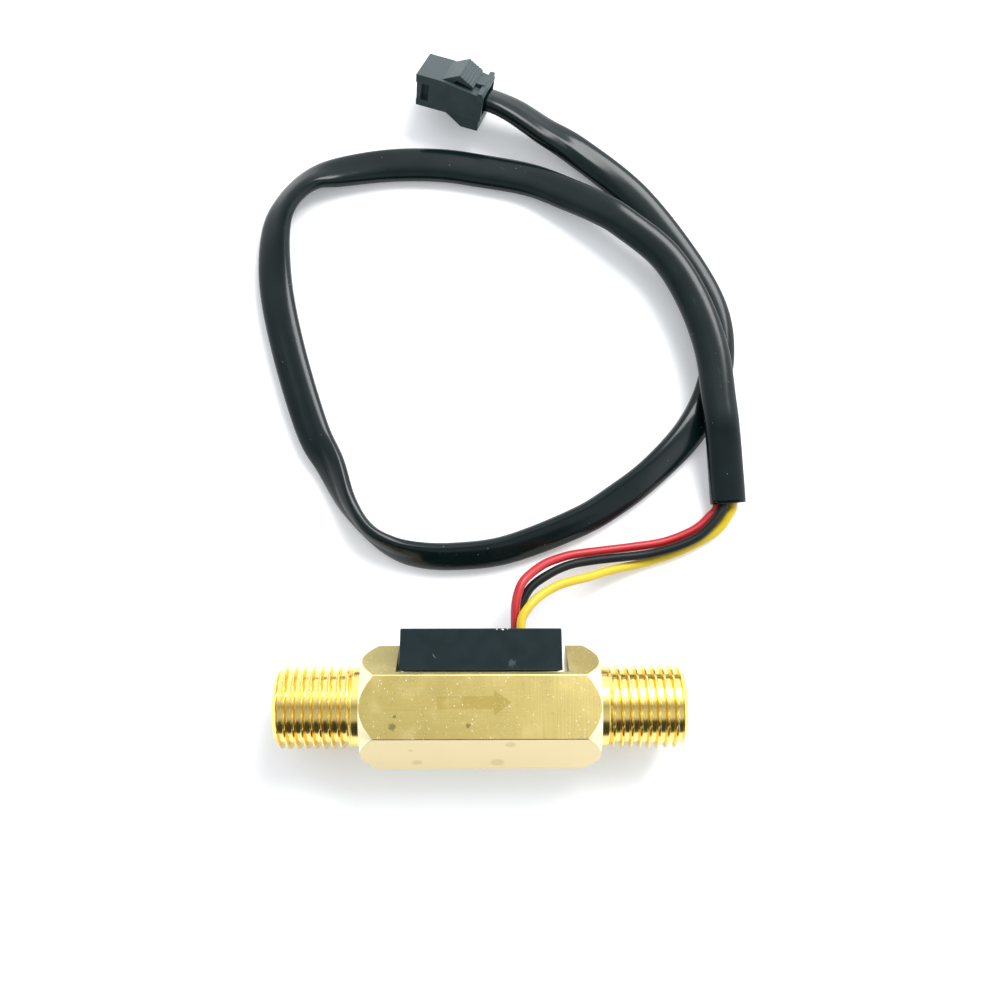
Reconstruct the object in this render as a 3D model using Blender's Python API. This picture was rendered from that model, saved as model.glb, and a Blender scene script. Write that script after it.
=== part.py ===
"""An inline turbine flow sensor with its lead, in metres, +Z up.

The brass body lies along X on one flat of its hexagon, and the water runs towards +X.
The origin is the middle of that flat. The sensor case stands in a pocket milled into the
+Y corner, and the lead runs from it over the same surface to its plug.
"""

import math

import bmesh
import bpy
from mathutils import Matrix, Vector

# Clearances
SEAT_GAP = 0.0003  # between a piece and the one that it seats on
RUNNING_GAP = 0.0001  # round the shaft, on the radius
TIP_GAP = 0.0003  # between the blade tips and the chamber
THRUST_GAP = 0.0003  # between the rotor hub and the hubs beside it
WELD = 1e-6  # how near two points are joined

# Brass body
HEX_ACROSS_FLATS = 0.018
HEX_LENGTH = 0.040
THREAD_DIAMETER = 0.014
THREAD_PITCH = 0.0015
THREAD_DEPTH = 0.00085
THREAD_RIDGE = 0.00075  # width of the ridge at its foot, with a flat root beside it
THREAD_LENGTH = 0.0145  # from the hexagon to the end face
THREAD_END_CHAMFER = 0.001
NECK_DIAMETER = 0.0136
NECK_LENGTH = 0.0013
SHOULDER_DIAMETER = 0.0178  # the flat ring at each end of the hexagon
CORNER_ANGLE = math.radians(30)  # slope of the turned corners, from the bore's axis
PORT_BORE = 0.0095
PORT_CHAMFER = 0.0005
CHAMBER_BORE = 0.008
CHAMBER_LENGTH = 0.013
GROOVE_DEPTH = 0.0005
POCKET_FLAT = 0.00565  # from the bore's axis to the pocket's floor
POCKET_SHIFT = 0.0003  # from the middle of the body towards the outlet
POCKET_PLAY = 0.0013  # how much longer the pocket is than the case
ROUND_SEGMENTS = 48

# Inside the bore
CAGE_LENGTH = 0.008
CAGE_RIM_WALL = 0.0006
HUB_DIAMETER = 0.0048
HUB_NOSE = 0.0022
VANE_THICKNESS = 0.0006
INLET_VANES = 4
INLET_TWIST = math.radians(40)
OUTLET_VANES = 3
SNAP_RING_THICKNESS = 0.0007
SNAP_RING_WALL = 0.0008
SNAP_RING_OPENING = math.radians(50)
ROTOR_LENGTH = 0.011
BLADE_COUNT = 5
BLADE_LENGTH = 0.008
BLADE_THICKNESS = 0.0007
BLADE_TWIST = math.radians(-65)
SHAFT_DIAMETER = 0.001
BEARING_DEPTH = 0.0025
MAGNET_DIAMETER = 0.0032
MAGNET_BORE = 0.0016
MAGNET_LENGTH = 0.004

# Sensor case
CASE_LENGTH = 0.0273
CASE_DEPTH = 0.007
CASE_WIDTH = 0.012
CASE_WALL = 0.0012
CASE_FLOOR = 0.0012
CASE_SHIFT = -0.00025  # from the middle of the pocket towards the inlet
CASE_DRAFT = math.radians(0.8)
RESIN_RECESS = 0.0004
BOARD_THICKNESS = 0.001
BOARD_CLEARANCE = 0.0004
CHIP_SIZE = (0.004, 0.0011, 0.003)
CHIP_SHIFT = -0.0015
CAPACITOR_SIZE = (0.002, 0.0009, 0.00125)
RESISTOR_SIZE = (0.002, 0.0006, 0.00125)
RESISTOR_EDGE = 0.0022  # from the board's end to the middle of the resistor
CAPACITOR_EDGE = 0.0072

# Plug
PLUG_LENGTH = 0.0134
PLUG_WIDTH = 0.0097
PLUG_HEIGHT = 0.0059
PLUG_RAKE = 0.0006  # the front's lower edge stands back from its upper edge
PLUG_ROLL = math.radians(-33.2)
PLUG_HEADING = math.radians(-16.5)
PLUG_FRONT = (-0.01156, 0.1192)
PLUG_REST_GAP = 0.0001
DECK_DROP = 0.001  # the block's top at the rear bar, below the front's
PIN_PITCH = 0.0025
CAVITY = 0.002
HOLLOW_START = 0.0112  # the open rear of the block, where the lead goes in
HOLLOW_HEIGHT = 0.0038
HOLLOW_WALL = 0.00065
LEVER_START = 0.0047
LEVER_PEAK = 0.0081
LEVER_END = 0.011
LEVER_RISE = 0.0015
LEVER_SIDE = 0.00085
LEVER_ROOT = 0.0008
LEVER_TIP = 0.0004
SLIT_START = 0.0068  # where the lever leaves the block
SLIT_PEAK = 0.0078
SLIT_RISE = 0.00035
RIB_COUNT = 5
RIB_DEPTH = 0.0002
BRIDGE_WIDTH = 0.0032
BRIDGE_THICKNESS = 0.0006
BAR_START = 0.0122
BAR_HEIGHT = 0.0017
BAR_DROP = 0.0004
BAR_OVERHANG = 0.00035
KEYWAY_HEIGHT = 0.0032
KEYWAY_LEVEL = -0.0002
KEYWAY_DEPTH = 0.0009
KEYWAY_START = 0.0013
KEYWAY_END = 0.0028
KEYWAY_LIP = 0.0006
WEDGE_START = 0.0062
WEDGE_PEAK = 0.0098
WEDGE_RISE = 0.0022
WEDGE_SIDE = 0.0004
WEDGE_END = 0.0131
TERMINAL_SIZE = 0.0014
TERMINAL_BORE = 0.0008
TERMINAL_MOUTH = 0.0008  # from the plug's front to the terminal
SOCKET_LENGTH = 0.006
NECK_WIDTH = 0.0008
TERMINAL_NECK = 0.001
CRIMP_LENGTH = 0.0042

# Lead
WIRE_DIAMETER = 0.0016
WIRE_STEP = 0.004
SLEEVE_WIDTH = 0.0062
SLEEVE_THICKNESS = 0.0031
SLEEVE_STEP = 0.0085
LEAD_BEVEL_SEGMENTS = 2

# The routes were chosen by hand, from the case to the plug, as millimetres along X, Y and Z.
RED_ROUTE = [
    (6.0, 12.9, 9.1),
    (6.0, 15.6, 9.1),
    (6.2, 18.2, 9.0),
    (7.1, 21.0, 8.6),
    (8.7, 22.9, 7.6),
    (11.4, 24.9, 6.0),
    (14.2, 26.1, 4.8),
    (17.0, 26.9, 3.9),
    (22.6, 27.8, 2.6),
    (28.2, 28.6, 1.8),
    (33.8, 29.6, 1.3),
    (39.2, 31.8, 1.1),
    (42.0, 34.3, 1.0),
    (43.2, 35.8, 1.1),
]
BLACK_ROUTE = [
    (6.8, 12.9, 7.6),
    (6.8, 16.0, 7.4),
    (7.4, 18.3, 7.1),
    (9.2, 21.0, 6.6),
    (12.9, 23.5, 5.8),
    (16.2, 24.9, 5.1),
    (19.5, 25.6, 4.4),
    (22.8, 26.1, 3.7),
    (29.5, 26.9, 2.9),
    (32.8, 27.6, 2.8),
    (36.1, 28.6, 2.8),
    (39.4, 30.1, 2.8),
    (41.6, 31.9, 2.8),
    (43.4, 34.0, 2.8),
    (44.3, 35.4, 2.8),
]
YELLOW_ROUTE = [
    (6.9, 13.1, 10.7),
    (7.0, 14.5, 10.6),
    (7.6, 15.9, 10.4),
    (9.2, 17.9, 9.8),
    (11.2, 19.5, 8.9),
    (13.9, 21.0, 7.8),
    (16.7, 21.9, 6.6),
    (19.5, 22.7, 5.2),
    (22.3, 23.7, 3.9),
    (25.1, 24.5, 2.7),
    (28.0, 25.2, 1.6),
    (31.0, 26.0, 1.0),
    (35.9, 27.6, 1.0),
    (40.6, 29.8, 1.1),
    (43.9, 32.0, 1.3),
    (45.6, 34.3, 1.6),
    (46.3, 35.8, 1.9),
]
# The sleeve's rows end with its lean about its own run, in degrees, 0 where it lies flat.
SLEEVE_ROUTE = [
    (45.5, 36.6, 2.2, 0),
    (45.0, 42.6, 3.5, 0),
    (44.4, 49.8, 5.0, 0),
    (43.9, 55.5, 5.2, 0),
    (42.9, 65.1, 5.2, 0),
    (39.8, 74.9, 5.2, 0),
    (34.8, 83.6, 5.2, 0),
    (27.0, 90.5, 5.1, 0),
    (22.8, 93.5, 4.5, 0),
    (17.1, 96.9, 3.2, 0),
    (9.5, 100.6, 2.0, 0),
    (-0.3, 102.7, 1.6, 0),
    (-8.3, 103.8, 1.6, 0),
    (-18.0, 103.7, 1.6, 0),
    (-27.6, 102.0, 1.8, 8),
    (-32.8, 99.8, 2.3, 24),
    (-37.1, 95.5, 2.6, 34),
    (-39.3, 89.6, 2.3, 22),
    (-39.1, 78.8, 2.0, 14),
    (-36.2, 65.6, 1.9, 10),
    (-31.4, 50.7, 2.1, 14),
    (-27.8, 43.8, 2.5, 28),
    (-24.4, 37.0, 2.9, 54),
    (-20.6, 32.1, 3.2, 80),
    (-16.7, 29.2, 3.2, 82),
    (-12.0, 27.5, 3.1, 68),
    (-4.9, 26.9, 2.7, 44),
    (4.9, 28.1, 2.4, 30),
    (17.8, 33.1, 2.1, 20),
    (25.0, 37.3, 2.3, 28),
    (31.7, 42.5, 2.6, 40),
    (38.8, 50.0, 2.2, 24),
    (43.2, 57.8, 1.6, 0),
    (44.9, 66.0, 1.6, 0),
    (43.8, 74.6, 1.6, 0),
    (38.6, 84.9, 1.6, 0),
    (29.6, 97.3, 1.7, 0),
    (19.0, 106.2, 2.4, 12),
    (12.4, 110.1, 4.1, 24),
    (7.4, 112.8, 5.8, 31),
    (3.8, 114.3, 6.4, 33),
    (0.7, 115.2, 6.4, 33),
]
ROUTE_UNIT = 0.001

AXIS_HEIGHT = HEX_ACROSS_FLATS / 2
END_FACE = HEX_LENGTH / 2 + THREAD_LENGTH
PORT_RADIUS = PORT_BORE / 2
CHAMBER_RADIUS = CHAMBER_BORE / 2
HUB_RADIUS = HUB_DIAMETER / 2
SHAFT_RADIUS = SHAFT_DIAMETER / 2
SHOULDER_INSIDE = CHAMBER_LENGTH / 2
CAGE_START = SHOULDER_INSIDE + SEAT_GAP
CAGE_END = CAGE_START + CAGE_LENGTH
CAGE_RADIUS = PORT_RADIUS - SEAT_GAP
SNAP_RING_START = CAGE_END + SEAT_GAP
SNAP_RING_END = SNAP_RING_START + SNAP_RING_THICKNESS
GROOVE_START = SNAP_RING_START - SEAT_GAP / 2
GROOVE_END = SNAP_RING_END + SEAT_GAP
GROOVE_RADIUS = PORT_RADIUS + GROOVE_DEPTH
HUB_FACE = ROTOR_LENGTH / 2 + THRUST_GAP
CASE_BACK = POCKET_FLAT + SEAT_GAP
CASE_RIM = CASE_BACK + CASE_DEPTH
CASE_INSIDE = CASE_BACK + CASE_FLOOR
CASE_MIDDLE = POCKET_SHIFT + CASE_SHIFT
CHIP_LEVEL = CASE_INSIDE + SEAT_GAP
BOARD_LEVEL = CHIP_LEVEL + CHIP_SIZE[1] + SEAT_GAP
COMPONENT_LEVEL = BOARD_LEVEL + BOARD_THICKNESS + SEAT_GAP


def new_material(name, colour, roughness, metallic=0.0):
    material = bpy.data.materials.new(name)
    material.use_nodes = True
    shader = material.node_tree.nodes["Principled BSDF"]
    shader.inputs["Base Color"].default_value = (*colour, 1.0)
    shader.inputs["Roughness"].default_value = roughness
    shader.inputs["Metallic"].default_value = metallic
    return material


def new_empty(name, location, rotation=(0.0, 0.0, 0.0)):
    empty = bpy.data.objects.new(name, None)
    empty.location = location
    empty.rotation_euler = rotation
    bpy.context.scene.collection.objects.link(empty)
    return empty


def new_object(name, shape, parent, material=None, smooth=False):
    """An object with a bmesh's shape. Without a material it is a tool that only shapes others."""
    mesh = bpy.data.meshes.new(name)
    bmesh.ops.recalc_face_normals(shape, faces=shape.faces)
    shape.to_mesh(mesh)
    shape.free()
    piece = bpy.data.objects.new(name, mesh)
    piece.parent = parent
    bpy.context.scene.collection.objects.link(piece)
    if smooth:
        mesh.shade_smooth()
        mesh.set_sharp_from_angle(angle=math.radians(35))
    if material:
        mesh.materials.append(material)
    else:
        piece.hide_render = True
        piece.display_type = "WIRE"
    return piece


def combine(piece, operation, tool):
    modifier = piece.modifiers.new(f"{operation.lower()} {tool.name}", "BOOLEAN")
    modifier.operation = operation
    modifier.solver = "EXACT"
    modifier.object = tool


def turned(outline, closed=False, angle=2 * math.pi, segments=ROUND_SEGMENTS):
    """A shape turned round X from an outline of (x, radius) points."""
    shape = bmesh.new()
    points = [shape.verts.new((x, 0.0, radius)) for x, radius in outline]
    start = list(points)
    for first, second in zip(points, points[1:]):
        start.append(shape.edges.new((first, second)))
    if closed:
        start.append(shape.edges.new((points[-1], points[0])))
    if angle < 2 * math.pi:
        start.append(shape.faces.new(points))
    steps = max(3, round(segments * angle / (2 * math.pi)))
    bmesh.ops.spin(shape, geom=start, cent=(0, 0, 0), axis=(1, 0, 0), angle=angle, steps=steps)
    bmesh.ops.remove_doubles(shape, verts=shape.verts, dist=WELD)
    return shape


def block(low, high):
    """A box between two corners."""
    shape = bmesh.new()
    size = Vector(high) - Vector(low)
    middle = (Vector(high) + Vector(low)) / 2
    matrix = Matrix.Translation(middle) @ Matrix.Diagonal((*size, 1.0))
    bmesh.ops.create_cube(shape, size=1.0, matrix=matrix)
    return shape


def pull(shape, face, depth):
    """Extrude one face by a vector, and give the new face and its corners."""
    attached = any(len(edge.link_faces) > 1 for edge in face.edges)
    grown = bmesh.ops.extrude_face_region(shape, geom=[face])["geom"]
    moved = [part for part in grown if isinstance(part, bmesh.types.BMVert)]
    bmesh.ops.translate(shape, vec=depth, verts=moved)
    if attached:
        bmesh.ops.delete(shape, geom=[face], context="FACES_ONLY")
    return next(part for part in grown if isinstance(part, bmesh.types.BMFace)), moved


def extruded(outline, depth):
    """A solid from an outline of points, extruded by a vector."""
    shape = bmesh.new()
    pull(shape, shape.faces.new([shape.verts.new(point) for point in outline]), depth)
    return shape


def blades(count, tip_radius, thickness, start, length, twist, steps):
    """A star of blades about X, drawn as one outline and extruded with a twist."""
    shape = bmesh.new()
    core_radius = HUB_RADIUS / 2
    outline = []
    for blade in range(count):
        turn = Matrix.Rotation(blade * 2 * math.pi / count, 3, "X")
        for radius, side in ((core_radius, 1), (tip_radius, 1), (tip_radius, -1), (core_radius, -1)):
            point = Vector((start, side * thickness / 2, radius))
            outline.append(shape.verts.new(turn @ point))
    face = shape.faces.new(outline)
    turn = Matrix.Rotation(twist / steps, 3, "X")
    for _ in range(steps):
        face, moved = pull(shape, face, (length / steps, 0, 0))
        bmesh.ops.rotate(shape, cent=(0, 0, 0), matrix=turn, verts=moved)
    return shape


def mirrored(outline):
    """An outline given from the middle to the +X end, completed from the -X end."""
    return [(-x, radius) for x, radius in reversed(outline)] + outline


def threaded_spigot(side):
    """A spigot that begins inside the hexagon, with a right-hand thread from its neck to its end.

    Points on the crest and in the root follow the helix. Where it runs past either end of the
    thread they gather in one ring, which joins the neck or the end's chamfer.
    side is -1 for the inlet and 1 for the outlet.
    """
    crest = THREAD_DIAMETER / 2
    neck_start = HEX_LENGTH / 2 - NECK_LENGTH
    neck_end = HEX_LENGTH / 2 + NECK_LENGTH
    thread_end = END_FACE - THREAD_END_CHAMFER / 2
    shape = bmesh.new()

    def point(x, radius, step):
        angle = step * 2 * math.pi / ROUND_SEGMENTS
        reach = min(radius, crest - THREAD_END_CHAMFER + END_FACE - x)
        return shape.verts.new((side * x, -side * reach * math.sin(angle), reach * math.cos(angle)))

    def ring(x, radius):
        return [point(x, radius, step) for step in range(ROUND_SEGMENTS)]

    def strip(first, second):
        for start, end in zip(zip(first, first[1:]), zip(second, second[1:])):
            shape.faces.new((*start, *reversed(end)))

    turns = math.ceil((thread_end - neck_end) / THREAD_PITCH) + 3
    root = crest - THREAD_DEPTH
    ridge = [(-THREAD_RIDGE / 2, root), (0.0, crest), (THREAD_RIDGE / 2, root)]
    rows = []
    for turn in range(turns):
        for place, radius in ridge:
            helix = []
            for step in range(ROUND_SEGMENTS + 1):
                x = neck_end + THREAD_PITCH * (turn - 1.5 + step / ROUND_SEGMENTS) + place
                inside = neck_end < x < thread_end
                reach = radius if inside else NECK_DIAMETER / 2
                helix.append(point(min(max(x, neck_end), thread_end), reach, step))
            rows.append(helix)
    for first, second in zip(rows, rows[1:]):
        strip(first, second)
    start_ring = ring(neck_start, NECK_DIAMETER / 2)
    end_ring = ring(END_FACE, crest)
    strip([*start_ring, start_ring[0]], rows[0])
    strip(rows[-1], [*end_ring, end_ring[0]])
    shape.faces.new(start_ring)
    shape.faces.new(end_ring)
    bmesh.ops.remove_doubles(shape, verts=shape.verts, dist=WELD)
    bmesh.ops.dissolve_degenerate(shape, edges=shape.edges, dist=WELD)
    # A face of the thread isn't flat until it is cut into triangles.
    bent = [face for face in shape.faces if len(face.verts) == 4]
    bent = [face for face in bent if abs(face.calc_center_median().x) > neck_end]
    bmesh.ops.triangulate(shape, faces=bent)
    return shape


def make_body(parent, material):
    """The body: hexagon bar with two threaded spigots, bored, grooved and milled for the case."""
    corner = HEX_ACROSS_FLATS / math.sqrt(3)
    blank_radius = corner * 1.1
    cone_length = (blank_radius - SHOULDER_DIAMETER / 2) / math.tan(CORNER_ANGLE)
    shoulder = HEX_LENGTH / 2
    outline = mirrored(
        [
            (shoulder - cone_length, blank_radius),
            (shoulder, SHOULDER_DIAMETER / 2),
            (shoulder, 0.0),
        ]
    )
    body = new_object("brass_body", turned(outline), parent, material, smooth=True)

    over = corner
    sides = [math.radians(60 * side) for side in range(6)]
    hexagon = [(-END_FACE - over, corner * math.cos(a), corner * math.sin(a)) for a in sides]
    bar = extruded(hexagon, (2 * (END_FACE + over), 0, 0))
    combine(body, "INTERSECT", new_object("hexagon_bar", bar, parent))
    combine(body, "UNION", new_object("inlet_spigot", threaded_spigot(-1), parent))
    combine(body, "UNION", new_object("outlet_spigot", threaded_spigot(1), parent))

    bore = mirrored(
        [
            (SHOULDER_INSIDE, CHAMBER_RADIUS),
            (SHOULDER_INSIDE, PORT_RADIUS),
            (GROOVE_START, PORT_RADIUS),
            (GROOVE_START, GROOVE_RADIUS),
            (GROOVE_END, GROOVE_RADIUS),
            (GROOVE_END, PORT_RADIUS),
            (END_FACE - PORT_CHAMFER, PORT_RADIUS),
            (END_FACE + PORT_CHAMFER, PORT_RADIUS + 2 * PORT_CHAMFER),
            (END_FACE + PORT_CHAMFER, 0.0),
        ]
    )
    combine(body, "DIFFERENCE", new_object("bore_cutter", turned(bore), parent))

    half = (CASE_LENGTH + POCKET_PLAY) / 2
    pocket = block((POCKET_SHIFT - half, POCKET_FLAT, -corner), (POCKET_SHIFT + half, 2 * corner, corner))
    combine(body, "DIFFERENCE", new_object("pocket_cutter", pocket, parent))


def make_cage(name, side, vane_count, twist, parent, material):
    """A moulded cage: a rim in the bore, and vanes that carry a hub with a blind bearing hole.

    side is -1 for the inlet's cage and 1 for the outlet's.
    """
    rim_inside = CAGE_RADIUS - CAGE_RIM_WALL
    rim = [
        (side * CAGE_START, rim_inside),
        (side * CAGE_END, rim_inside),
        (side * CAGE_END, CAGE_RADIUS),
        (side * CAGE_START, CAGE_RADIUS),
    ]
    cage = new_object(name, turned(rim, closed=True), parent, material, smooth=True)

    nose_start = CAGE_END - HUB_NOSE
    hub = [(side * HUB_FACE, 0.0), (side * HUB_FACE, HUB_RADIUS)]
    for step in range(5):
        angle = math.radians(90 * step / 4)
        hub.append((side * (nose_start + HUB_NOSE * math.sin(angle)), HUB_RADIUS * math.cos(angle)))
    hub[-1] = (side * CAGE_END, 0.0)
    hub_shape = turned(hub, segments=ROUND_SEGMENTS // 2)
    combine(cage, "UNION", new_object(f"{name}_hub", hub_shape, parent))

    vane_start = CAGE_START + VANE_THICKNESS
    vane_length = nose_start - vane_start
    first = side * vane_start if side > 0 else side * (vane_start + vane_length)
    vane_tip = (rim_inside + CAGE_RADIUS) / 2
    steps = 6 if twist else 1
    vane_shape = blades(vane_count, vane_tip, VANE_THICKNESS, first, vane_length, twist, steps)
    combine(cage, "UNION", new_object(f"{name}_vanes", vane_shape, parent))

    hole_radius = SHAFT_RADIUS + RUNNING_GAP
    hole_end = side * (HUB_FACE + BEARING_DEPTH + SEAT_GAP)
    hole_start = side * (HUB_FACE - THRUST_GAP)
    hole = turned(
        [(hole_start, 0.0), (hole_start, hole_radius), (hole_end, hole_radius), (hole_end, 0.0)],
        segments=16,
    )
    combine(cage, "DIFFERENCE", new_object(f"{name}_bearing_cutter", hole, parent))


def make_snap_ring(name, side, parent, material):
    """A C-shaped ring of square section in the bore's groove."""
    outside = GROOVE_RADIUS - SEAT_GAP
    inside = outside - SNAP_RING_WALL
    section = [
        (side * SNAP_RING_START, inside),
        (side * SNAP_RING_END, inside),
        (side * SNAP_RING_END, outside),
        (side * SNAP_RING_START, outside),
    ]
    ring = turned(section, closed=True, angle=2 * math.pi - SNAP_RING_OPENING)
    opening = Matrix.Rotation(SNAP_RING_OPENING / 2, 3, "X")
    bmesh.ops.rotate(ring, cent=(0, 0, 0), matrix=opening, verts=ring.verts)
    new_object(name, ring, parent, material, smooth=True)


def make_rotor(parent, plastic, ferrite, steel):
    """The turbine rotor with its magnet and the shaft, which turn together."""
    half = ROTOR_LENGTH / 2
    hub = [(-half, 0.0), (-half, HUB_RADIUS), (half, HUB_RADIUS), (half, 0.0)]
    hub_shape = turned(hub, segments=ROUND_SEGMENTS // 2)
    rotor = new_object("rotor", hub_shape, parent, plastic, smooth=True)
    tip_radius = CHAMBER_RADIUS - TIP_GAP
    vane_shape = blades(
        BLADE_COUNT, tip_radius, BLADE_THICKNESS, -BLADE_LENGTH / 2, BLADE_LENGTH, BLADE_TWIST, 8
    )
    combine(rotor, "UNION", new_object("rotor_blades", vane_shape, parent))

    hole_radius = SHAFT_RADIUS + RUNNING_GAP
    pocket_radius = MAGNET_DIAMETER / 2 + RUNNING_GAP
    pocket_start = half - MAGNET_LENGTH - SEAT_GAP
    hole = [
        (-half - SEAT_GAP, 0.0),
        (-half - SEAT_GAP, hole_radius),
        (pocket_start, hole_radius),
        (pocket_start, pocket_radius),
        (half + SEAT_GAP, pocket_radius),
        (half + SEAT_GAP, 0.0),
    ]
    hole_shape = turned(hole, segments=ROUND_SEGMENTS // 2)
    combine(rotor, "DIFFERENCE", new_object("rotor_bore_cutter", hole_shape, parent))

    magnet = [
        (half - MAGNET_LENGTH, MAGNET_BORE / 2),
        (half, MAGNET_BORE / 2),
        (half, MAGNET_DIAMETER / 2),
        (half - MAGNET_LENGTH, MAGNET_DIAMETER / 2),
    ]
    magnet_shape = turned(magnet, closed=True, segments=ROUND_SEGMENTS // 2)
    new_object("ring_magnet", magnet_shape, parent, ferrite, smooth=True)

    shaft_end = HUB_FACE + BEARING_DEPTH
    shaft = [(-shaft_end, 0.0), (-shaft_end, SHAFT_RADIUS), (shaft_end, SHAFT_RADIUS), (shaft_end, 0.0)]
    new_object("rotor_shaft", turned(shaft, segments=16), parent, steel, smooth=True)


def make_case(parent, material):
    """The sensor case: a moulded box with draft, open away from the pocket's floor."""
    half_length = CASE_LENGTH / 2
    half_width = CASE_WIDTH / 2
    narrower = CASE_DEPTH * math.tan(CASE_DRAFT)
    shape = block(
        (CASE_MIDDLE - half_length, CASE_BACK, -half_width),
        (CASE_MIDDLE + half_length, CASE_RIM, half_width),
    )
    shape.faces.ensure_lookup_table()
    rim = max(shape.faces, key=lambda face: face.calc_center_median().y)
    for vert in rim.verts:
        vert.co.x += math.copysign(narrower, CASE_MIDDLE - vert.co.x)
        vert.co.z -= math.copysign(narrower, vert.co.z)
    bmesh.ops.inset_region(shape, faces=[rim], thickness=CASE_WALL, use_even_offset=True)
    pull(shape, rim, (0, CASE_FLOOR - CASE_DEPTH, 0))
    new_object("hall_case", shape, parent, material)


def component(name, size, middle_x, level, parent, material):
    """A small part on the board, standing on the given level."""
    length, height, width = size
    low = (middle_x - length / 2, level, -width / 2)
    high = (middle_x + length / 2, level + height, width / 2)
    new_object(name, block(low, high), parent, material)


def make_electronics(parent, board_green, chip_black, ceramic, resistor_black, resin):
    """The board with its parts, and the resin that seals them in."""
    narrower = CASE_DEPTH * math.tan(CASE_DRAFT)
    room = (CASE_LENGTH / 2 - CASE_WALL - narrower, CASE_WIDTH / 2 - CASE_WALL - narrower)
    board_x = room[0] - BOARD_CLEARANCE
    board_z = room[1] - BOARD_CLEARANCE
    board = block(
        (CASE_MIDDLE - board_x, BOARD_LEVEL, -board_z),
        (CASE_MIDDLE + board_x, BOARD_LEVEL + BOARD_THICKNESS, board_z),
    )
    new_object("circuit_board", board, parent, board_green)
    chip_x = CASE_MIDDLE + CHIP_SHIFT
    component("hall_chip", CHIP_SIZE, chip_x, CHIP_LEVEL, parent, chip_black)
    board_end = CASE_MIDDLE - board_x
    capacitor_x = board_end + CAPACITOR_EDGE
    resistor_x = board_end + RESISTOR_EDGE
    component("capacitor", CAPACITOR_SIZE, capacitor_x, COMPONENT_LEVEL, parent, ceramic)
    component("pull_up_resistor", RESISTOR_SIZE, resistor_x, COMPONENT_LEVEL, parent, resistor_black)

    fill_x = room[0] - SEAT_GAP
    fill_z = room[1] - SEAT_GAP
    fill = block(
        (CASE_MIDDLE - fill_x, COMPONENT_LEVEL, -fill_z),
        (CASE_MIDDLE + fill_x, CASE_RIM - RESIN_RECESS, fill_z),
    )
    potting = new_object("potting_resin", fill, parent, resin)
    for name, size, middle in (
        ("capacitor", CAPACITOR_SIZE, capacitor_x),
        ("resistor", RESISTOR_SIZE, resistor_x),
    ):
        length, height, width = (value / 2 + SEAT_GAP for value in size)
        recess = block(
            (middle - length, COMPONENT_LEVEL - SEAT_GAP, -width),
            (middle + length, COMPONENT_LEVEL + 2 * height - SEAT_GAP, width),
        )
        combine(potting, "DIFFERENCE", new_object(f"{name}_recess", recess, parent))


def plug_profile(points, half_width):
    """A side outline of (length, height) points, extruded across the plug's width."""
    outline = [(length, -half_width, height) for length, height in points]
    return extruded(outline, (0, 2 * half_width, 0))


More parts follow.
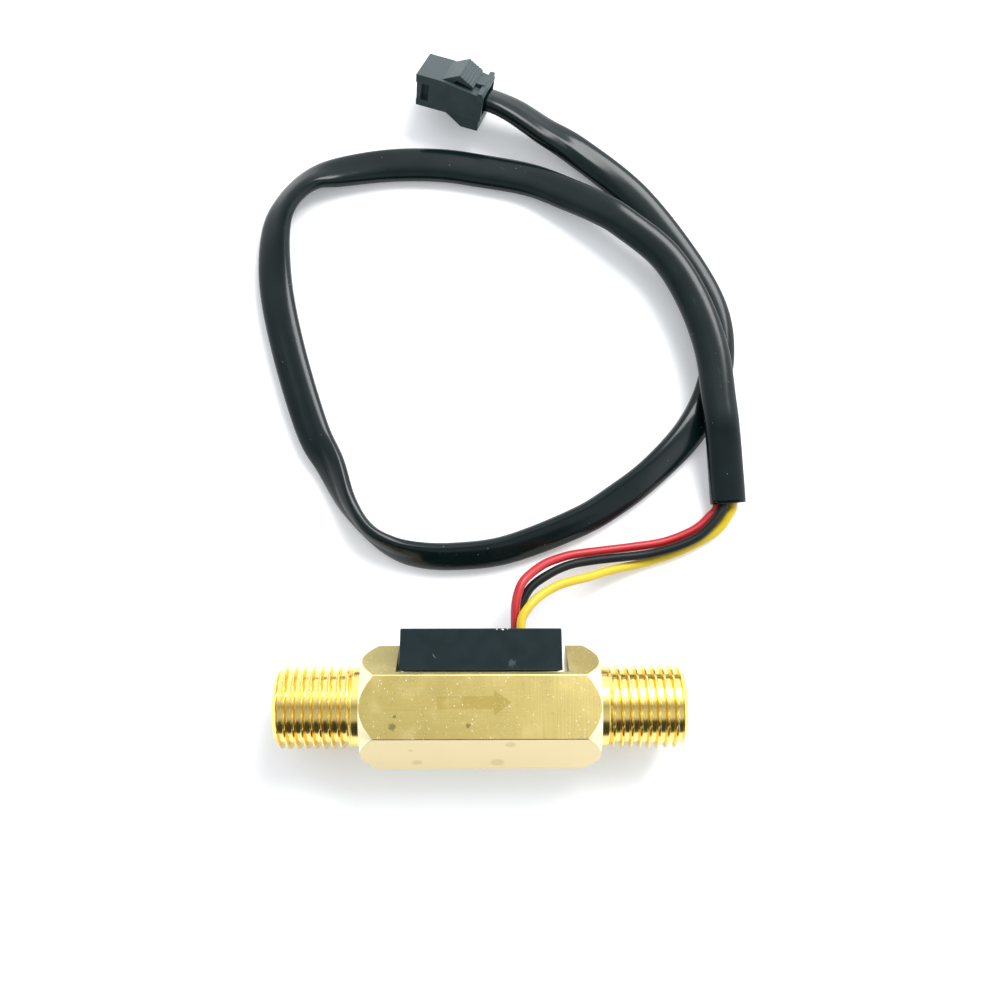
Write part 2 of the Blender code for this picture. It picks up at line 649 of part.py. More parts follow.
def make_plug(parent, material):
    """The plug's housing, one moulding: block, latch lever with its ribs, rear bar and wedge."""
    top = PLUG_HEIGHT / 2
    deck = top - DECK_DROP
    half_width = PLUG_WIDTH / 2
    side = [
        (PLUG_RAKE, -top),
        (0.0, top),
        (LEVER_START, top),
        (BAR_START, deck),
        (PLUG_LENGTH, deck),
        (PLUG_LENGTH, -top),
    ]
    housing = new_object("plug_housing", plug_profile(side, half_width), parent, material)

    # The lever's root is sunk into the block, and past the slit it springs free as one arch.
    peak = top + LEVER_RISE
    lever = [
        (LEVER_START - LEVER_ROOT, top - LEVER_TIP),
        (SLIT_START, top - LEVER_TIP),
        (SLIT_PEAK, top + SLIT_RISE),
        (LEVER_END, top - LEVER_TIP),
    ]
    rib = (LEVER_END - LEVER_PEAK) / RIB_COUNT
    step = LEVER_RISE / RIB_COUNT
    for tooth in range(RIB_COUNT):
        foot = LEVER_END - tooth * rib
        level = top + tooth * step
        lever += [(foot, level), (foot - rib / 2, level + step / 2 - RIB_DEPTH / 2)]
        lever += [(foot - rib / 2, level + step / 2 + RIB_DEPTH / 2)]
    lever += [(LEVER_PEAK, peak), (LEVER_START, top - RIB_DEPTH / 2)]
    lever += [(LEVER_START - LEVER_ROOT, top - RIB_DEPTH)]
    lever_shape = plug_profile(lever, half_width - LEVER_SIDE)
    combine(housing, "UNION", new_object("plug_lever", lever_shape, parent))

    # A narrow bridge joins the lever's end to the bar across the rear.
    bar_top = top - BAR_DROP
    overhang = half_width + BAR_OVERHANG
    bar = block((BAR_START, -overhang, bar_top - BAR_HEIGHT), (PLUG_LENGTH - RIB_DEPTH, overhang, bar_top))
    combine(housing, "UNION", new_object("plug_bar", bar, parent))
    bridge_top = top - RIB_DEPTH
    bridge = block(
        (LEVER_END - rib, -BRIDGE_WIDTH / 2, bridge_top - BRIDGE_THICKNESS),
        (BAR_START + rib, BRIDGE_WIDTH / 2, bridge_top),
    )
    combine(housing, "UNION", new_object("plug_bridge", bridge, parent))

    inside = -top + WEDGE_SIDE
    wedge = [
        (WEDGE_START - WEDGE_SIDE, inside),
        (WEDGE_START, -top),
        (WEDGE_PEAK, -top - WEDGE_RISE),
        (WEDGE_END, -top - WEDGE_RISE),
        (WEDGE_END, inside),
    ]
    wedge_shape = plug_profile(wedge, half_width - WEDGE_SIDE)
    combine(housing, "UNION", new_object("plug_wedge", wedge_shape, parent))

    level = cavity_level()
    hollow = block(
        (HOLLOW_START, HOLLOW_WALL - half_width, level - HOLLOW_HEIGHT / 2),
        (PLUG_LENGTH + SEAT_GAP, half_width - HOLLOW_WALL, level + HOLLOW_HEIGHT / 2),
    )
    combine(housing, "DIFFERENCE", new_object("hollow_cutter", hollow, parent))
    for pin in (-1, 0, 1):
        middle = pin * PIN_PITCH
        cavity = block(
            (-SEAT_GAP, middle - CAVITY / 2, level - CAVITY / 2),
            (HOLLOW_START + SEAT_GAP, middle + CAVITY / 2, level + CAVITY / 2),
        )
        combine(housing, "DIFFERENCE", new_object(f"cavity_cutter_{pin + 2}", cavity, parent))

    # The keyways in both sides open at the front over a sloping lip.
    outside = half_width + SEAT_GAP
    low = KEYWAY_LEVEL - KEYWAY_HEIGHT / 2
    for side_name, sign in (("left", -1), ("right", 1)):
        outline = [
            (-SEAT_GAP, outside),
            (-SEAT_GAP, half_width - KEYWAY_LIP),
            (KEYWAY_START, half_width - KEYWAY_LIP / 4),
            (KEYWAY_START, half_width - KEYWAY_DEPTH),
            (KEYWAY_END, half_width - KEYWAY_DEPTH),
            (KEYWAY_END, outside),
        ]
        keyway = extruded([(x, sign * y, low) for x, y in outline], (0, 0, KEYWAY_HEIGHT))
        combine(housing, "DIFFERENCE", new_object(f"{side_name}_keyway_cutter", keyway, parent))


def cavity_level():
    """The middle of the block behind the terminals, where the lead goes in, from the plug's axis."""
    return -DECK_DROP / 2


def make_terminal(name, pin, parent, material):
    """A crimp terminal: a square socket, a narrow neck and the crimped barrel behind it."""
    middle = pin * PIN_PITCH
    level = cavity_level()
    half = TERMINAL_SIZE / 2
    bore = TERMINAL_BORE / 2
    neck = NECK_WIDTH / 2
    shape = bmesh.new()
    corners = [(-1, -1), (1, -1), (1, 1), (-1, 1)]

    def ring(x, size):
        return [shape.verts.new((x, middle + y * size, level + z * size)) for y, z in corners]

    start = TERMINAL_MOUTH
    socket_end = start + SOCKET_LENGTH
    neck_end = socket_end + TERMINAL_NECK
    rings = [
        ring(socket_end - TERMINAL_NECK, bore),
        ring(start, bore),
        ring(start, half),
        ring(socket_end, half),
        ring(socket_end, neck),
        ring(neck_end, neck),
        ring(neck_end, half),
        ring(neck_end + CRIMP_LENGTH, half),
    ]
    for first, second in zip(rings, rings[1:]):
        for corner in range(4):
            following = (corner + 1) % 4
            shape.faces.new((first[corner], first[following], second[following], second[corner]))
    shape.faces.new(rings[0])
    shape.faces.new(rings[-1])
    new_object(name, shape, parent, material)


def smooth_line(route, step):
    """Points at an even step on a smooth curve through the route's rows, in metres."""
    rows = [Vector(row[:3]) * ROUTE_UNIT for row in route]
    leans = [math.radians(row[3]) if len(row) > 3 else 0.0 for row in route]
    rows = [2 * rows[0] - rows[1], *rows, 2 * rows[-1] - rows[-2]]
    parts = 12
    fine = []
    for index in range(1, len(rows) - 2):
        before, start, end, after = rows[index - 1 : index + 3]
        for part in range(parts):
            t = part / parts
            point = start + 0.5 * t * (
                end - before
                + t * (2 * before - 5 * start + 4 * end - after + t * (3 * (start - end) + after - before))
            )
            lean = leans[index - 1] + t * (leans[index] - leans[index - 1])
            fine.append((point, lean))
    fine.append((rows[-2], leans[-1]))
    travelled = [0.0]
    for (first, _), (second, _) in zip(fine, fine[1:]):
        travelled.append(travelled[-1] + (second - first).length)
    count = round(travelled[-1] / step)
    line = []
    at = 0
    for stop in range(count + 1):
        goal = travelled[-1] * stop / count
        while at < len(fine) - 2 and travelled[at + 1] < goal:
            at += 1
        share = min(1.0, (goal - travelled[at]) / (travelled[at + 1] - travelled[at]))
        point = fine[at][0].lerp(fine[at + 1][0], share)
        line.append((point, fine[at][1] + share * (fine[at + 1][1] - fine[at][1])))
    return line


def make_lead(name, route, step, thickness, width, material):
    """A plain length of lead along its route, round or flattened."""
    curve = bpy.data.curves.new(name, "CURVE")
    curve.dimensions = "3D"
    curve.twist_mode = "Z_UP"
    curve.bevel_depth = thickness / 2
    curve.bevel_resolution = LEAD_BEVEL_SEGMENTS
    curve.extrude = (width - thickness) / 2
    curve.use_fill_caps = True
    curve.materials.append(material)
    line = smooth_line(route, step)
    spline = curve.splines.new("POLY")
    spline.points.add(len(line) - 1)
    for point, (place, lean) in zip(spline.points, line):
        point.co = (*place, 1.0)
        point.tilt = math.pi / 2 + lean
    bpy.context.scene.collection.objects.link(bpy.data.objects.new(name, curve))


def main():
    for old in list(bpy.data.objects):
        bpy.data.objects.remove(old)

    brass = new_material("brass", (0.72, 0.56, 0.22), 0.3, 1.0)
    white_plastic = new_material("white acetal", (0.82, 0.82, 0.78), 0.5)
    blue_plastic = new_material("blue acetal", (0.10, 0.22, 0.45), 0.5)
    ferrite = new_material("ferrite", (0.06, 0.06, 0.065), 0.6)
    steel = new_material("stainless steel", (0.62, 0.62, 0.62), 0.25, 1.0)
    case_black = new_material("black case plastic", (0.035, 0.055, 0.06), 0.5)
    board_green = new_material("board green", (0.02, 0.16, 0.07), 0.5)
    chip_black = new_material("chip black", (0.02, 0.02, 0.02), 0.55)
    ceramic = new_material("capacitor ceramic", (0.45, 0.33, 0.2), 0.5)
    resistor_black = new_material("resistor black", (0.03, 0.03, 0.035), 0.4)
    resin = new_material("potting resin", (0.02, 0.025, 0.028), 0.25)
    red = new_material("red wire", (0.62, 0.02, 0.03), 0.4)
    black = new_material("black wire", (0.02, 0.025, 0.027), 0.4)
    yellow = new_material("yellow wire", (0.92, 0.66, 0.02), 0.4)
    sleeve = new_material("black sleeve", (0.015, 0.022, 0.023), 0.25)
    plug_black = new_material("plug nylon", (0.05, 0.065, 0.068), 0.5)
    tin = new_material("tinned brass", (0.7, 0.68, 0.62), 0.3, 1.0)

    bore_axis = new_empty("bore_axis", (0.0, 0.0, AXIS_HEIGHT))
    rotor_axis = new_empty("rotor_axis", (0.0, 0.0, AXIS_HEIGHT))
    lowest = (PLUG_WIDTH / 2 - WEDGE_SIDE) * math.sin(-PLUG_ROLL)
    lowest += (PLUG_HEIGHT / 2 + WEDGE_RISE) * math.cos(PLUG_ROLL)
    plug_place = (*PLUG_FRONT, lowest + PLUG_REST_GAP)
    plug_axis = new_empty("plug_axis", plug_place, (PLUG_ROLL, 0.0, PLUG_HEADING))

    make_body(bore_axis, brass)
    make_cage("inlet_guide", -1, INLET_VANES, INLET_TWIST, bore_axis, white_plastic)
    make_cage("outlet_support", 1, OUTLET_VANES, 0.0, bore_axis, white_plastic)
    make_snap_ring("inlet_snap_ring", -1, bore_axis, steel)
    make_snap_ring("outlet_snap_ring", 1, bore_axis, steel)
    make_rotor(rotor_axis, blue_plastic, ferrite, steel)
    make_case(bore_axis, case_black)
    make_electronics(bore_axis, board_green, chip_black, ceramic, resistor_black, resin)
    make_plug(plug_axis, plug_black)
    for pin, name in enumerate(("red_terminal", "black_terminal", "yellow_terminal")):
        make_terminal(name, pin - 1, plug_axis, tin)
    make_lead("red_wire", RED_ROUTE, WIRE_STEP, WIRE_DIAMETER, WIRE_DIAMETER, red)
    make_lead("black_wire", BLACK_ROUTE, WIRE_STEP, WIRE_DIAMETER, WIRE_DIAMETER, black)
    make_lead("yellow_wire", YELLOW_ROUTE, WIRE_STEP, WIRE_DIAMETER, WIRE_DIAMETER, yellow)
    make_lead("cable_sleeve", SLEEVE_ROUTE, SLEEVE_STEP, SLEEVE_THICKNESS, SLEEVE_WIDTH, sleeve)
    bpy.context.view_layer.update()


main()
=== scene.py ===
# %% [markdown]
# A water flow sensor, dressed for its picture.
# The measured model gives every solid its place: a brass body, a sensor case, a lead and a plug.
# This lesson builds the looks round that model, one finish and one piece at a time.
# Everything is in metres, the floor is at height zero, and the water runs towards +X.

import math

import bmesh
import bpy
import numpy as np
from mathutils import Euler, Matrix, Vector


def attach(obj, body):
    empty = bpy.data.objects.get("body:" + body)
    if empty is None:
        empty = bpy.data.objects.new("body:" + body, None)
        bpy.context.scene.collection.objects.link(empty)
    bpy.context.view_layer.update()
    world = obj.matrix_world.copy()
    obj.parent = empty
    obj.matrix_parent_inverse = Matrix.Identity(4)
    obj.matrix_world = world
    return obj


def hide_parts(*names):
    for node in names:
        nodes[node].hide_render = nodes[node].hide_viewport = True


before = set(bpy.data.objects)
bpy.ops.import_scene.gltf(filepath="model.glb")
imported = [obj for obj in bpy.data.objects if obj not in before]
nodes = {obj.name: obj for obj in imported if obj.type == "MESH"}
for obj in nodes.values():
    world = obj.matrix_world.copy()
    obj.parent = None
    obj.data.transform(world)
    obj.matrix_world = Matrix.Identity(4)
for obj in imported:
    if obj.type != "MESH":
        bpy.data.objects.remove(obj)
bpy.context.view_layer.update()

# %% [markdown]
# The camera comes first, because a lead that runs out of the picture would have to be moved.
# The sensor was photographed from straight above with a short lens, so its near and far parts
# are seen from different sides. A long lens from far away would lose that.

# %% Camera
MM = 0.001
PICTURE = 1000  # pixels on a side
FOCAL_PIXELS = 1061
SENSOR_WIDTH = 36  # in millimetres, as the camera wants it
NEAREST_SEEN = 0.01
CAMERA_PLACE = Vector((0.76, 1.97, 194)) * MM
CAMERA_AHEAD = Vector((0.01396, 0.1805, -0.98348))
CAMERA_RIGHT = Vector((0.9999, -0.0025, 0.0137))

scene = bpy.context.scene


def placed(name, data):
    """A new object in the scene that shows this mesh, lamp or camera."""
    thing = bpy.data.objects.new(name, data)
    scene.collection.objects.link(thing)
    return thing


camera_data = bpy.data.cameras.new("camera")
camera_data.sensor_width = SENSOR_WIDTH
camera_data.lens = FOCAL_PIXELS / PICTURE * SENSOR_WIDTH
camera_data.clip_start = NEAREST_SEEN
camera = placed("camera", camera_data)
ahead = CAMERA_AHEAD.normalized()
right = (CAMERA_RIGHT - ahead * CAMERA_RIGHT.dot(ahead)).normalized()
turn = Matrix((right, right.cross(ahead), -ahead)).transposed()
camera.matrix_world = Matrix.Translation(CAMERA_PLACE) @ turn.to_4x4()
scene.camera = camera
print("camera height:", round(camera.location.z, 3))

# %% [markdown]
# Cords next. Each one follows a list of places, read off the solids' own routes.
# A smooth curve through the places, cut into even steps, gives the line to sweep along.
# Any further columns, such as a lean or a width, are smoothed together with the place.

# %% A smooth line through rows
FINE_PART = 0.05  # of the way from one row to the next


def smooth_rows(rows, step):
    """Rows at an even step along a smooth curve. The first three columns are the place."""
    rows = np.array(rows, float)
    rows = np.vstack([2 * rows[0] - rows[1], rows, 2 * rows[-1] - rows[-2]])
    fine = []
    for before, start, end, after in zip(rows, rows[1:], rows[2:], rows[3:]):
        for part in np.arange(0, 1, FINE_PART):
            bend = 2 * before - 5 * start + 4 * end - after
            twist = 3 * (start - end) + after - before
            fine.append(start + 0.5 * part * (end - before + part * (bend + part * twist)))
    fine.append(rows[-2])
    fine = np.array(fine)
    gone = np.r_[0, np.cumsum(np.linalg.norm(np.diff(fine[:, :3], axis=0), axis=1))]
    stops = np.linspace(0, gone[-1], max(2, round(gone[-1] / step)) + 1)
    return np.column_stack([np.interp(stops, gone, column) for column in fine.T])


def line_frame(places, leans):
    """For each place of a line, the unit vectors to its right and to its top."""
    along = np.gradient(places, axis=0)
    along /= np.linalg.norm(along, axis=1)[:, None]
    level = np.cross(along, (0, 0, 1))
    level /= np.linalg.norm(level, axis=1)[:, None]
    upward = np.cross(level, along)
    cosine = np.cos(leans)[:, None]
    sine = np.sin(leans)[:, None]
    return level * cosine - upward * sine, upward * cosine + level * sine


def length_of(places):
    """The length of a line through these places."""
    return float(np.linalg.norm(np.diff(places, axis=0), axis=1).sum())


# %% [markdown]
# The sleeve is a flat soft tube over three wires. It lies flat, leans where it bends, and
# stands nearly on edge at its tightest turn. It could be a bevelled curve, but then it would
# have one section everywhere. A swept mesh lets the width, the lean and the creases in its skin
# change along the run.
# Each row holds X, Y, Z, the width and the thickness in millimetres, and the lean in degrees.

# %% Route of the sleeve
SLEEVE_ROWS = [
    (45.5, 36.6, 2.2, 6.5, 3.6, 0),
    (45.0, 42.6, 3.5, 6.5, 3.2, 0),
    (44.4, 49.8, 5.0, 6.4, 3.0, 0),
    (43.9, 55.5, 5.2, 6.4, 3.0, 0),
    (42.9, 65.1, 5.2, 6.3, 3.0, -4),
    (39.8, 74.9, 5.2, 6.2, 3.0, -6),
    (34.8, 83.6, 5.2, 6.1, 3.0, -6),
    (27.0, 90.5, 5.1, 6.1, 3.0, -6),
    (22.8, 93.5, 4.5, 6.2, 3.0, -6),
    (17.1, 96.9, 3.2, 6.4, 3.0, -4),
    (9.5, 100.6, 2.0, 6.5, 2.9, 0),
    (-0.3, 102.7, 1.6, 6.6, 2.9, 0),
    (-8.3, 103.8, 1.6, 6.6, 2.9, 0),
    (-18.0, 103.7, 1.6, 6.5, 2.9, 0),
    (-27.6, 102.1, 1.9, 6.4, 3.0, 14),
    (-33.0, 100.1, 2.5, 6.1, 3.0, 38),
    (-37.3, 95.6, 2.7, 6.0, 3.0, 44),
    (-39.4, 89.6, 2.4, 6.1, 3.0, 28),
    (-39.1, 78.8, 2.0, 6.3, 3.0, 4),
    (-36.2, 65.6, 1.9, 6.3, 2.9, 0),
    (-31.4, 50.7, 2.1, 6.2, 2.8, 6),
    (-27.8, 43.8, 2.4, 5.9, 2.7, 30),
    (-24.6, 36.8, 2.7, 5.5, 2.6, 62),
    (-20.9, 31.8, 2.8, 5.5, 2.6, 86),
    (-16.9, 28.8, 2.7, 5.5, 2.6, 70),
    (-12.0, 27.1, 2.6, 5.5, 2.7, 52),
    (-4.9, 26.7, 2.5, 5.5, 2.8, 42),
    (4.9, 28.0, 2.4, 5.6, 2.7, 38),
    (17.8, 33.0, 2.4, 5.8, 2.8, 34),
    (25.0, 37.3, 2.4, 6.0, 2.9, 32),
    (31.7, 42.5, 2.6, 6.2, 3.0, 40),
    (38.8, 50.0, 2.2, 6.2, 3.0, 26),
    (43.2, 57.8, 1.6, 6.2, 3.0, 0),
    (44.9, 66.0, 1.7, 6.2, 3.0, -4),
    (43.8, 74.6, 1.8, 6.2, 3.0, -6),
    (38.6, 84.9, 1.8, 6.2, 3.0, -6),
    (29.6, 97.3, 1.8, 6.2, 3.0, -4),
    (19.0, 106.2, 2.4, 6.2, 3.0, 4),
    (12.2, 109.8, 4.1, 6.5, 3.0, 22),
    (7.2, 112.5, 5.7, 6.5, 3.0, 28),
    (3.7, 114.1, 6.3, 6.3, 3.0, 32),
    (0.7, 115.2, 6.4, 6.0, 3.2, 33),
]
SLEEVE_UNITS = (MM, MM, MM, MM, MM, math.radians(1))
SLEEVE_STEP = 1.0 * MM

sleeve_rows = smooth_rows(np.array(SLEEVE_ROWS) * SLEEVE_UNITS, SLEEVE_STEP)
sleeve_line = sleeve_rows[:, :3]
sleeve_right, sleeve_up = line_frame(sleeve_line, sleeve_rows[:, 5])
sleeve_length = length_of(sleeve_line)
print("sleeve length:", round(sleeve_length, 4), "rows:", len(sleeve_rows))

# %% [markdown]
# A swept tube is rings of points joined by quads. Each ring gets a UV row, with the distance
# along the cord in U and the way round in V, both in metres, so that a pattern can follow it.
# Both ends are capped, or joined to an inner wall where the tube is hollow.

# %% Sweep rings into a mesh
WAY_ROUND = 16 * MM  # near enough for the patterns on the sleeve and on the wires


def swept(name, outer, inner=None):
    """A closed mesh from outer rings, with a UV map along it. Inner rings make it hollow."""
    count, around = outer.shape[:2]
    gone = np.r_[0, np.cumsum(np.linalg.norm(np.diff(outer.mean(axis=1), axis=0), axis=1))]
    walls = [outer] if inner is None else [outer, inner]
    faces = []
    places = []
    for wall in range(len(walls)):
        for ring in range(wall * count, wall * count + count - 1):
            for side in range(around):
                corners = [(0, side), (0, side + 1), (1, side + 1), (1, side)]
                if wall == 0:
                    corners.reverse()
                faces.append([(ring + on) * around + way % around for on, way in corners])
                row = ring - wall * count
                places.append([(gone[row + on], way / around * WAY_ROUND) for on, way in corners])
    last = (count - 1) * around
    if inner is None:
        faces += [list(range(around)), list(range(last, last + around))[::-1]]
        places += [[(0, 0)] * around, [(gone[-1], 0)] * around]
    else:
        base = count * around
        for side in range(around):
            after = (side + 1) % around
            faces.append([side, after, base + after, base + side])
            faces.append([last + after, last + side, base + last + side, base + last + after])
            places += [[(0, 0)] * 4, [(gone[-1], 0)] * 4]
    mesh = bpy.data.meshes.new(name)
    mesh.from_pydata(np.concatenate(walls).reshape(-1, 3).tolist(), [], faces)
    layer = mesh.uv_layers.new(name="along")
    layer.data.foreach_set("uv", np.array([spot for face in places for spot in face]).ravel())
    mesh.shade_smooth()
    return placed(name, mesh)


# %% [markdown]
# The sleeve's section is a flattened round: a crown that is nearly flat in the middle and turns
# down more and more towards its edges. That is why a soft lamp shows as one band beside the
# edge. Along some stretches the skin is creased between two of the wires.

# %% Model the sleeve
SKIN = 0.3 * MM  # the sleeve's wall
WIRE_SPACING = 1.61 * MM  # between the wires inside it
SQUARENESS = 2.7  # 2 would be an ellipse, and more comes near a rectangle
SECTION_POINTS = 56
CREASE_FADE = 14  # mm over which a crease comes and goes
# Each crease has its start and end along the sleeve, its place across, its width and its depth,
# in millimetres. A depth below zero is a low ridge.
CREASES = [
    (322, 356, -0.8, 0.4, -0.12),
    (150, 212, -0.1, 0.35, 0.2),
    (214, 262, 0.9, 0.5, -0.12),
]


def eased(part):
    """From nothing at 0 to all at 1, and level at both ends."""
    part = np.clip(part, 0, 1)
    return part * part * (3 - 2 * part)


def sleeve_section(width, thickness):
    """Points across (right, up) of a flattened round."""
    turn = np.linspace(0, 2 * np.pi, SECTION_POINTS, endpoint=False)
    across = np.sign(np.cos(turn)) * np.abs(np.cos(turn)) ** (2 / SQUARENESS)
    upward = np.sign(np.sin(turn)) * np.abs(np.sin(turn)) ** (2 / SQUARENESS)
    return np.column_stack([across * width / 2, upward * thickness / 2])


def creased(section, gone):
    """A section whose top has sunk along the creases, at a distance along the sleeve."""
    section = section.copy()
    for start, end, place, width, depth in CREASES:
        strength = depth * eased(min(gone - start, end - gone) / CREASE_FADE)
        dent = strength * np.exp(-(((section[:, 0] / MM - place) / width) ** 2)) * MM
        section[:, 1] -= np.where(section[:, 1] > 0, dent, 0)
    return section


sleeve_gone = np.linspace(0, sleeve_length / MM, len(sleeve_line))
outer_rings = []
inner_rings = []
for at, (width, thickness) in enumerate(sleeve_rows[:, 3:5]):
    for rings, skin in ((outer_rings, 0), (inner_rings, SKIN)):
        section = creased(sleeve_section(width - 2 * skin, thickness - 2 * skin), sleeve_gone[at])
        ring = section[:, :1] * sleeve_right[at] + section[:, 1:] * sleeve_up[at]
        rings.append(sleeve_line[at] + ring)
sleeve = swept("lead_sleeve", np.array(outer_rings), np.array(inner_rings))
print("sleeve faces:", len(sleeve.data.polygons))

# %% [markdown]
# The wires leave the resin, hang down to the floor and enter the sleeve's mouth. A real wire
# doesn't stop there: it runs on inside to its terminal in the plug, so these do too.
# Inside they lie side by side, red on the left, black in the middle and yellow on the right.

# %% Routes of the wires
WIRE_DIAMETER = 1.6 * MM
WIRE_ROWS = {
    "red": [
        (6.0, 12.4, 9.1),
        (6.0, 15.6, 9.1),
        (6.2, 18.2, 9.0),
        (7.1, 21.0, 8.6),
        (8.7, 22.9, 7.6),
        (11.4, 24.9, 6.0),
        (14.2, 26.1, 4.8),
        (17.0, 26.9, 3.9),
        (22.6, 27.8, 2.6),
        (28.2, 28.6, 1.8),
        (33.8, 29.6, 1.3),
        (39.2, 31.8, 1.1),
        (42.2, 34.3, 1.1),
        (43.7, 36.6, 1.4),
    ],
    "black": [
        (6.8, 12.4, 7.6),
        (6.8, 16.0, 7.4),
        (7.4, 18.3, 7.1),
        (9.2, 21.0, 6.6),
        (12.9, 23.5, 5.8),
        (16.2, 24.9, 5.1),
        (19.5, 25.6, 4.4),
        (22.8, 26.1, 3.7),
        (29.5, 26.9, 2.9),
        (32.8, 27.6, 2.8),
        (36.1, 28.6, 2.8),
        (39.4, 30.1, 2.8),
        (41.6, 31.9, 2.8),
        (43.5, 34.1, 2.8),
        (44.7, 36.6, 2.8),
    ],
    "yellow": [
        (6.9, 12.4, 10.8),
        (7.0, 14.5, 10.6),
        (7.6, 15.9, 10.4),
        (9.2, 17.9, 9.8),
        (11.2, 19.5, 8.9),
        (13.9, 21.0, 7.8),
        (16.7, 21.9, 6.6),
        (19.5, 22.7, 5.2),
        (22.3, 23.7, 3.9),
        (25.1, 24.5, 2.7),
        (28.0, 25.2, 1.6),
        (31.0, 26.0, 1.0),
        (35.9, 27.6, 1.0),
        (40.6, 29.8, 1.1),
        (43.9, 32.0, 1.3),
        (45.6, 34.3, 1.6),
        (46.5, 36.6, 1.9),
    ],
}
WIRE_SIDES = {"red": -1, "black": 0, "yellow": 1}
WIRE_STEP = 0.8 * MM
WIRE_FACETS = 20
INSIDE_START = 8  # sleeve rows from the mouth to a wire's first place inside
INSIDE_END = 3  # sleeve rows left out before the plug
INSIDE_STEP = 3  # sleeve rows between the places

# %% [markdown]
# The plug tilts on the tip of its wedge. Its own frame, turned in the same way, gives the places
# where the three wires enter their terminals.

# %% The plug's frame
PLUG_FRONT = Vector((-11.56, 119.2, 6.952)) * MM
PLUG_TURN = Euler((math.radians(-33.2), 0, math.radians(-16.5))).to_matrix().to_4x4()
WIRE_END_SPACING = 2.1 * MM
CRIMP_END = 12.0 * MM
CAVITY_LEVEL = -0.5 * MM
LAST_STRETCH = 0.6 * MM  # of a wire, straight into its crimp

plug_frame = Matrix.Translation(PLUG_FRONT) @ PLUG_TURN
print("plug front:", [round(side, 4) for side in PLUG_FRONT])

# %% [markdown]
# A wire is a plain round tube, so it could be a curve with a bevel. It is swept like the sleeve
# instead, because the closed mesh then has the same UV map for its finish and can be measured.


# %% Model the wires
def wire_places(colour):
    """The whole line of a wire, from the resin through the sleeve to its terminal."""
    side = WIRE_SIDES[colour]
    places = [Vector(row) * MM for row in WIRE_ROWS[colour]]
    inside = range(INSIDE_START, len(sleeve_line) - INSIDE_END, INSIDE_STEP)
    places += [Vector(sleeve_line[at] + side * WIRE_SPACING * sleeve_right[at]) for at in inside]
    end = Vector((CRIMP_END, side * WIRE_END_SPACING, CAVITY_LEVEL))
    places.append(plug_frame @ end)
    places.append(plug_frame @ (end - Vector((LAST_STRETCH, 0, 0))))
    return smooth_rows(places, WIRE_STEP)


def wire_rings(line):
    """A ring of points round each place of a line."""
    to_right, to_up = line_frame(line, np.zeros(len(line)))
    turn = np.linspace(0, 2 * np.pi, WIRE_FACETS, endpoint=False)
    circle = np.column_stack([np.cos(turn), np.sin(turn)]) * WIRE_DIAMETER / 2
    across = circle[None, :, :1] * to_right[:, None]
    upward = circle[None, :, 1:] * to_up[:, None]
    return line[:, None] + across + upward


wires = {}
wire_lines = {}
for colour in WIRE_SIDES:
    wire_lines[colour] = wire_places(colour)
    wires[colour] = swept(f"{colour}_lead_wire", wire_rings(wire_lines[colour]))
    print(colour, "wire length:", round(length_of(wire_lines[colour]), 4))

# %% [markdown]
# Each wire rides with the sensor body and takes the place of the plain solid that it stands for,
# which is hidden.

for colour, wire in wires.items():
    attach(wire, "sensor_body")
    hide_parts(f"{colour}_wire")

# %% [markdown]
# Small helpers for work on a mesh. An operator acts on all that is selected, so each step first
# says which piece and then which of its edges or points it means.

# %% Select, edit, merge and settle
SAME_PLACE = 0.001 * MM  # points nearer than this become one


def choose(piece):
    """Select this object alone and make it the active one."""
    bpy.ops.object.select_all(action="DESELECT")
    piece.select_set(True)
    bpy.context.view_layer.objects.active = piece


def edit(piece):
    """Enter edit mode on a piece, with all of it selected."""
    choose(piece)
    bpy.ops.object.mode_set(mode="EDIT")
    bpy.ops.mesh.select_all(action="SELECT")


def leave():
    bpy.ops.object.mode_set(mode="OBJECT")


def pick_edges(test):
    """In edit mode, select the edges that pass a test."""
    bpy.ops.mesh.select_mode(type="EDGE")
    bpy.ops.mesh.select_all(action="DESELECT")
    mesh = bpy.context.edit_object.data
    cage = bmesh.from_edit_mesh(mesh)
    for edge in cage.edges:
        edge.select_set(bool(test(edge)))
    bmesh.update_edit_mesh(mesh)


def merge(piece, distance=SAME_PLACE, flatness=0):
    """Make near points one, and join faces that lie in one plane to so many degrees."""
    edit(piece)
    bpy.ops.mesh.remove_doubles(threshold=distance)
    if flatness:
        bpy.ops.mesh.dissolve_limited(angle_limit=math.radians(flatness))
    leave()


def face_outward():
    """In edit mode, turn every face of a closed piece outwards."""
    bpy.ops.mesh.select_all(action="SELECT")
    bpy.ops.mesh.normals_make_consistent(inside=False)


def settle(piece):
    """Move a piece's place into its mesh, so that its object sits at the origin."""
    choose(piece)
    bpy.ops.object.transform_apply(location=True, rotation=True, scale=True)


def apply(piece, kind, **settings):
    """Add a modifier with its settings and apply it."""
    choose(piece)
    modifier = piece.modifiers.new(kind.lower(), kind)
    for name, value in settings.items():
        setattr(modifier, name, value)
    bpy.ops.object.modifier_apply(modifier=modifier.name)


def break_edges(piece, width, segments, angle, clamp):
    """Bevel each edge whose faces turn by more than this angle in degrees."""
    limit = {"limit_method": "ANGLE", "angle_limit": math.radians(angle)}
    apply(piece, "BEVEL", width=width, segments=segments, use_clamp_overlap=clamp, **limit)


# %% [markdown]
# The body is a length of brass hexagon bar. On a lathe its corners are turned to cones, its ends
# to spigots, and a thread is cut on each. A mill then takes the pocket for the sensor case out
# of one corner. The model follows the same order of work, so its edges fall where the real ones
# do. The bar starts as a cylinder with six sides and small bevels on its long edges.

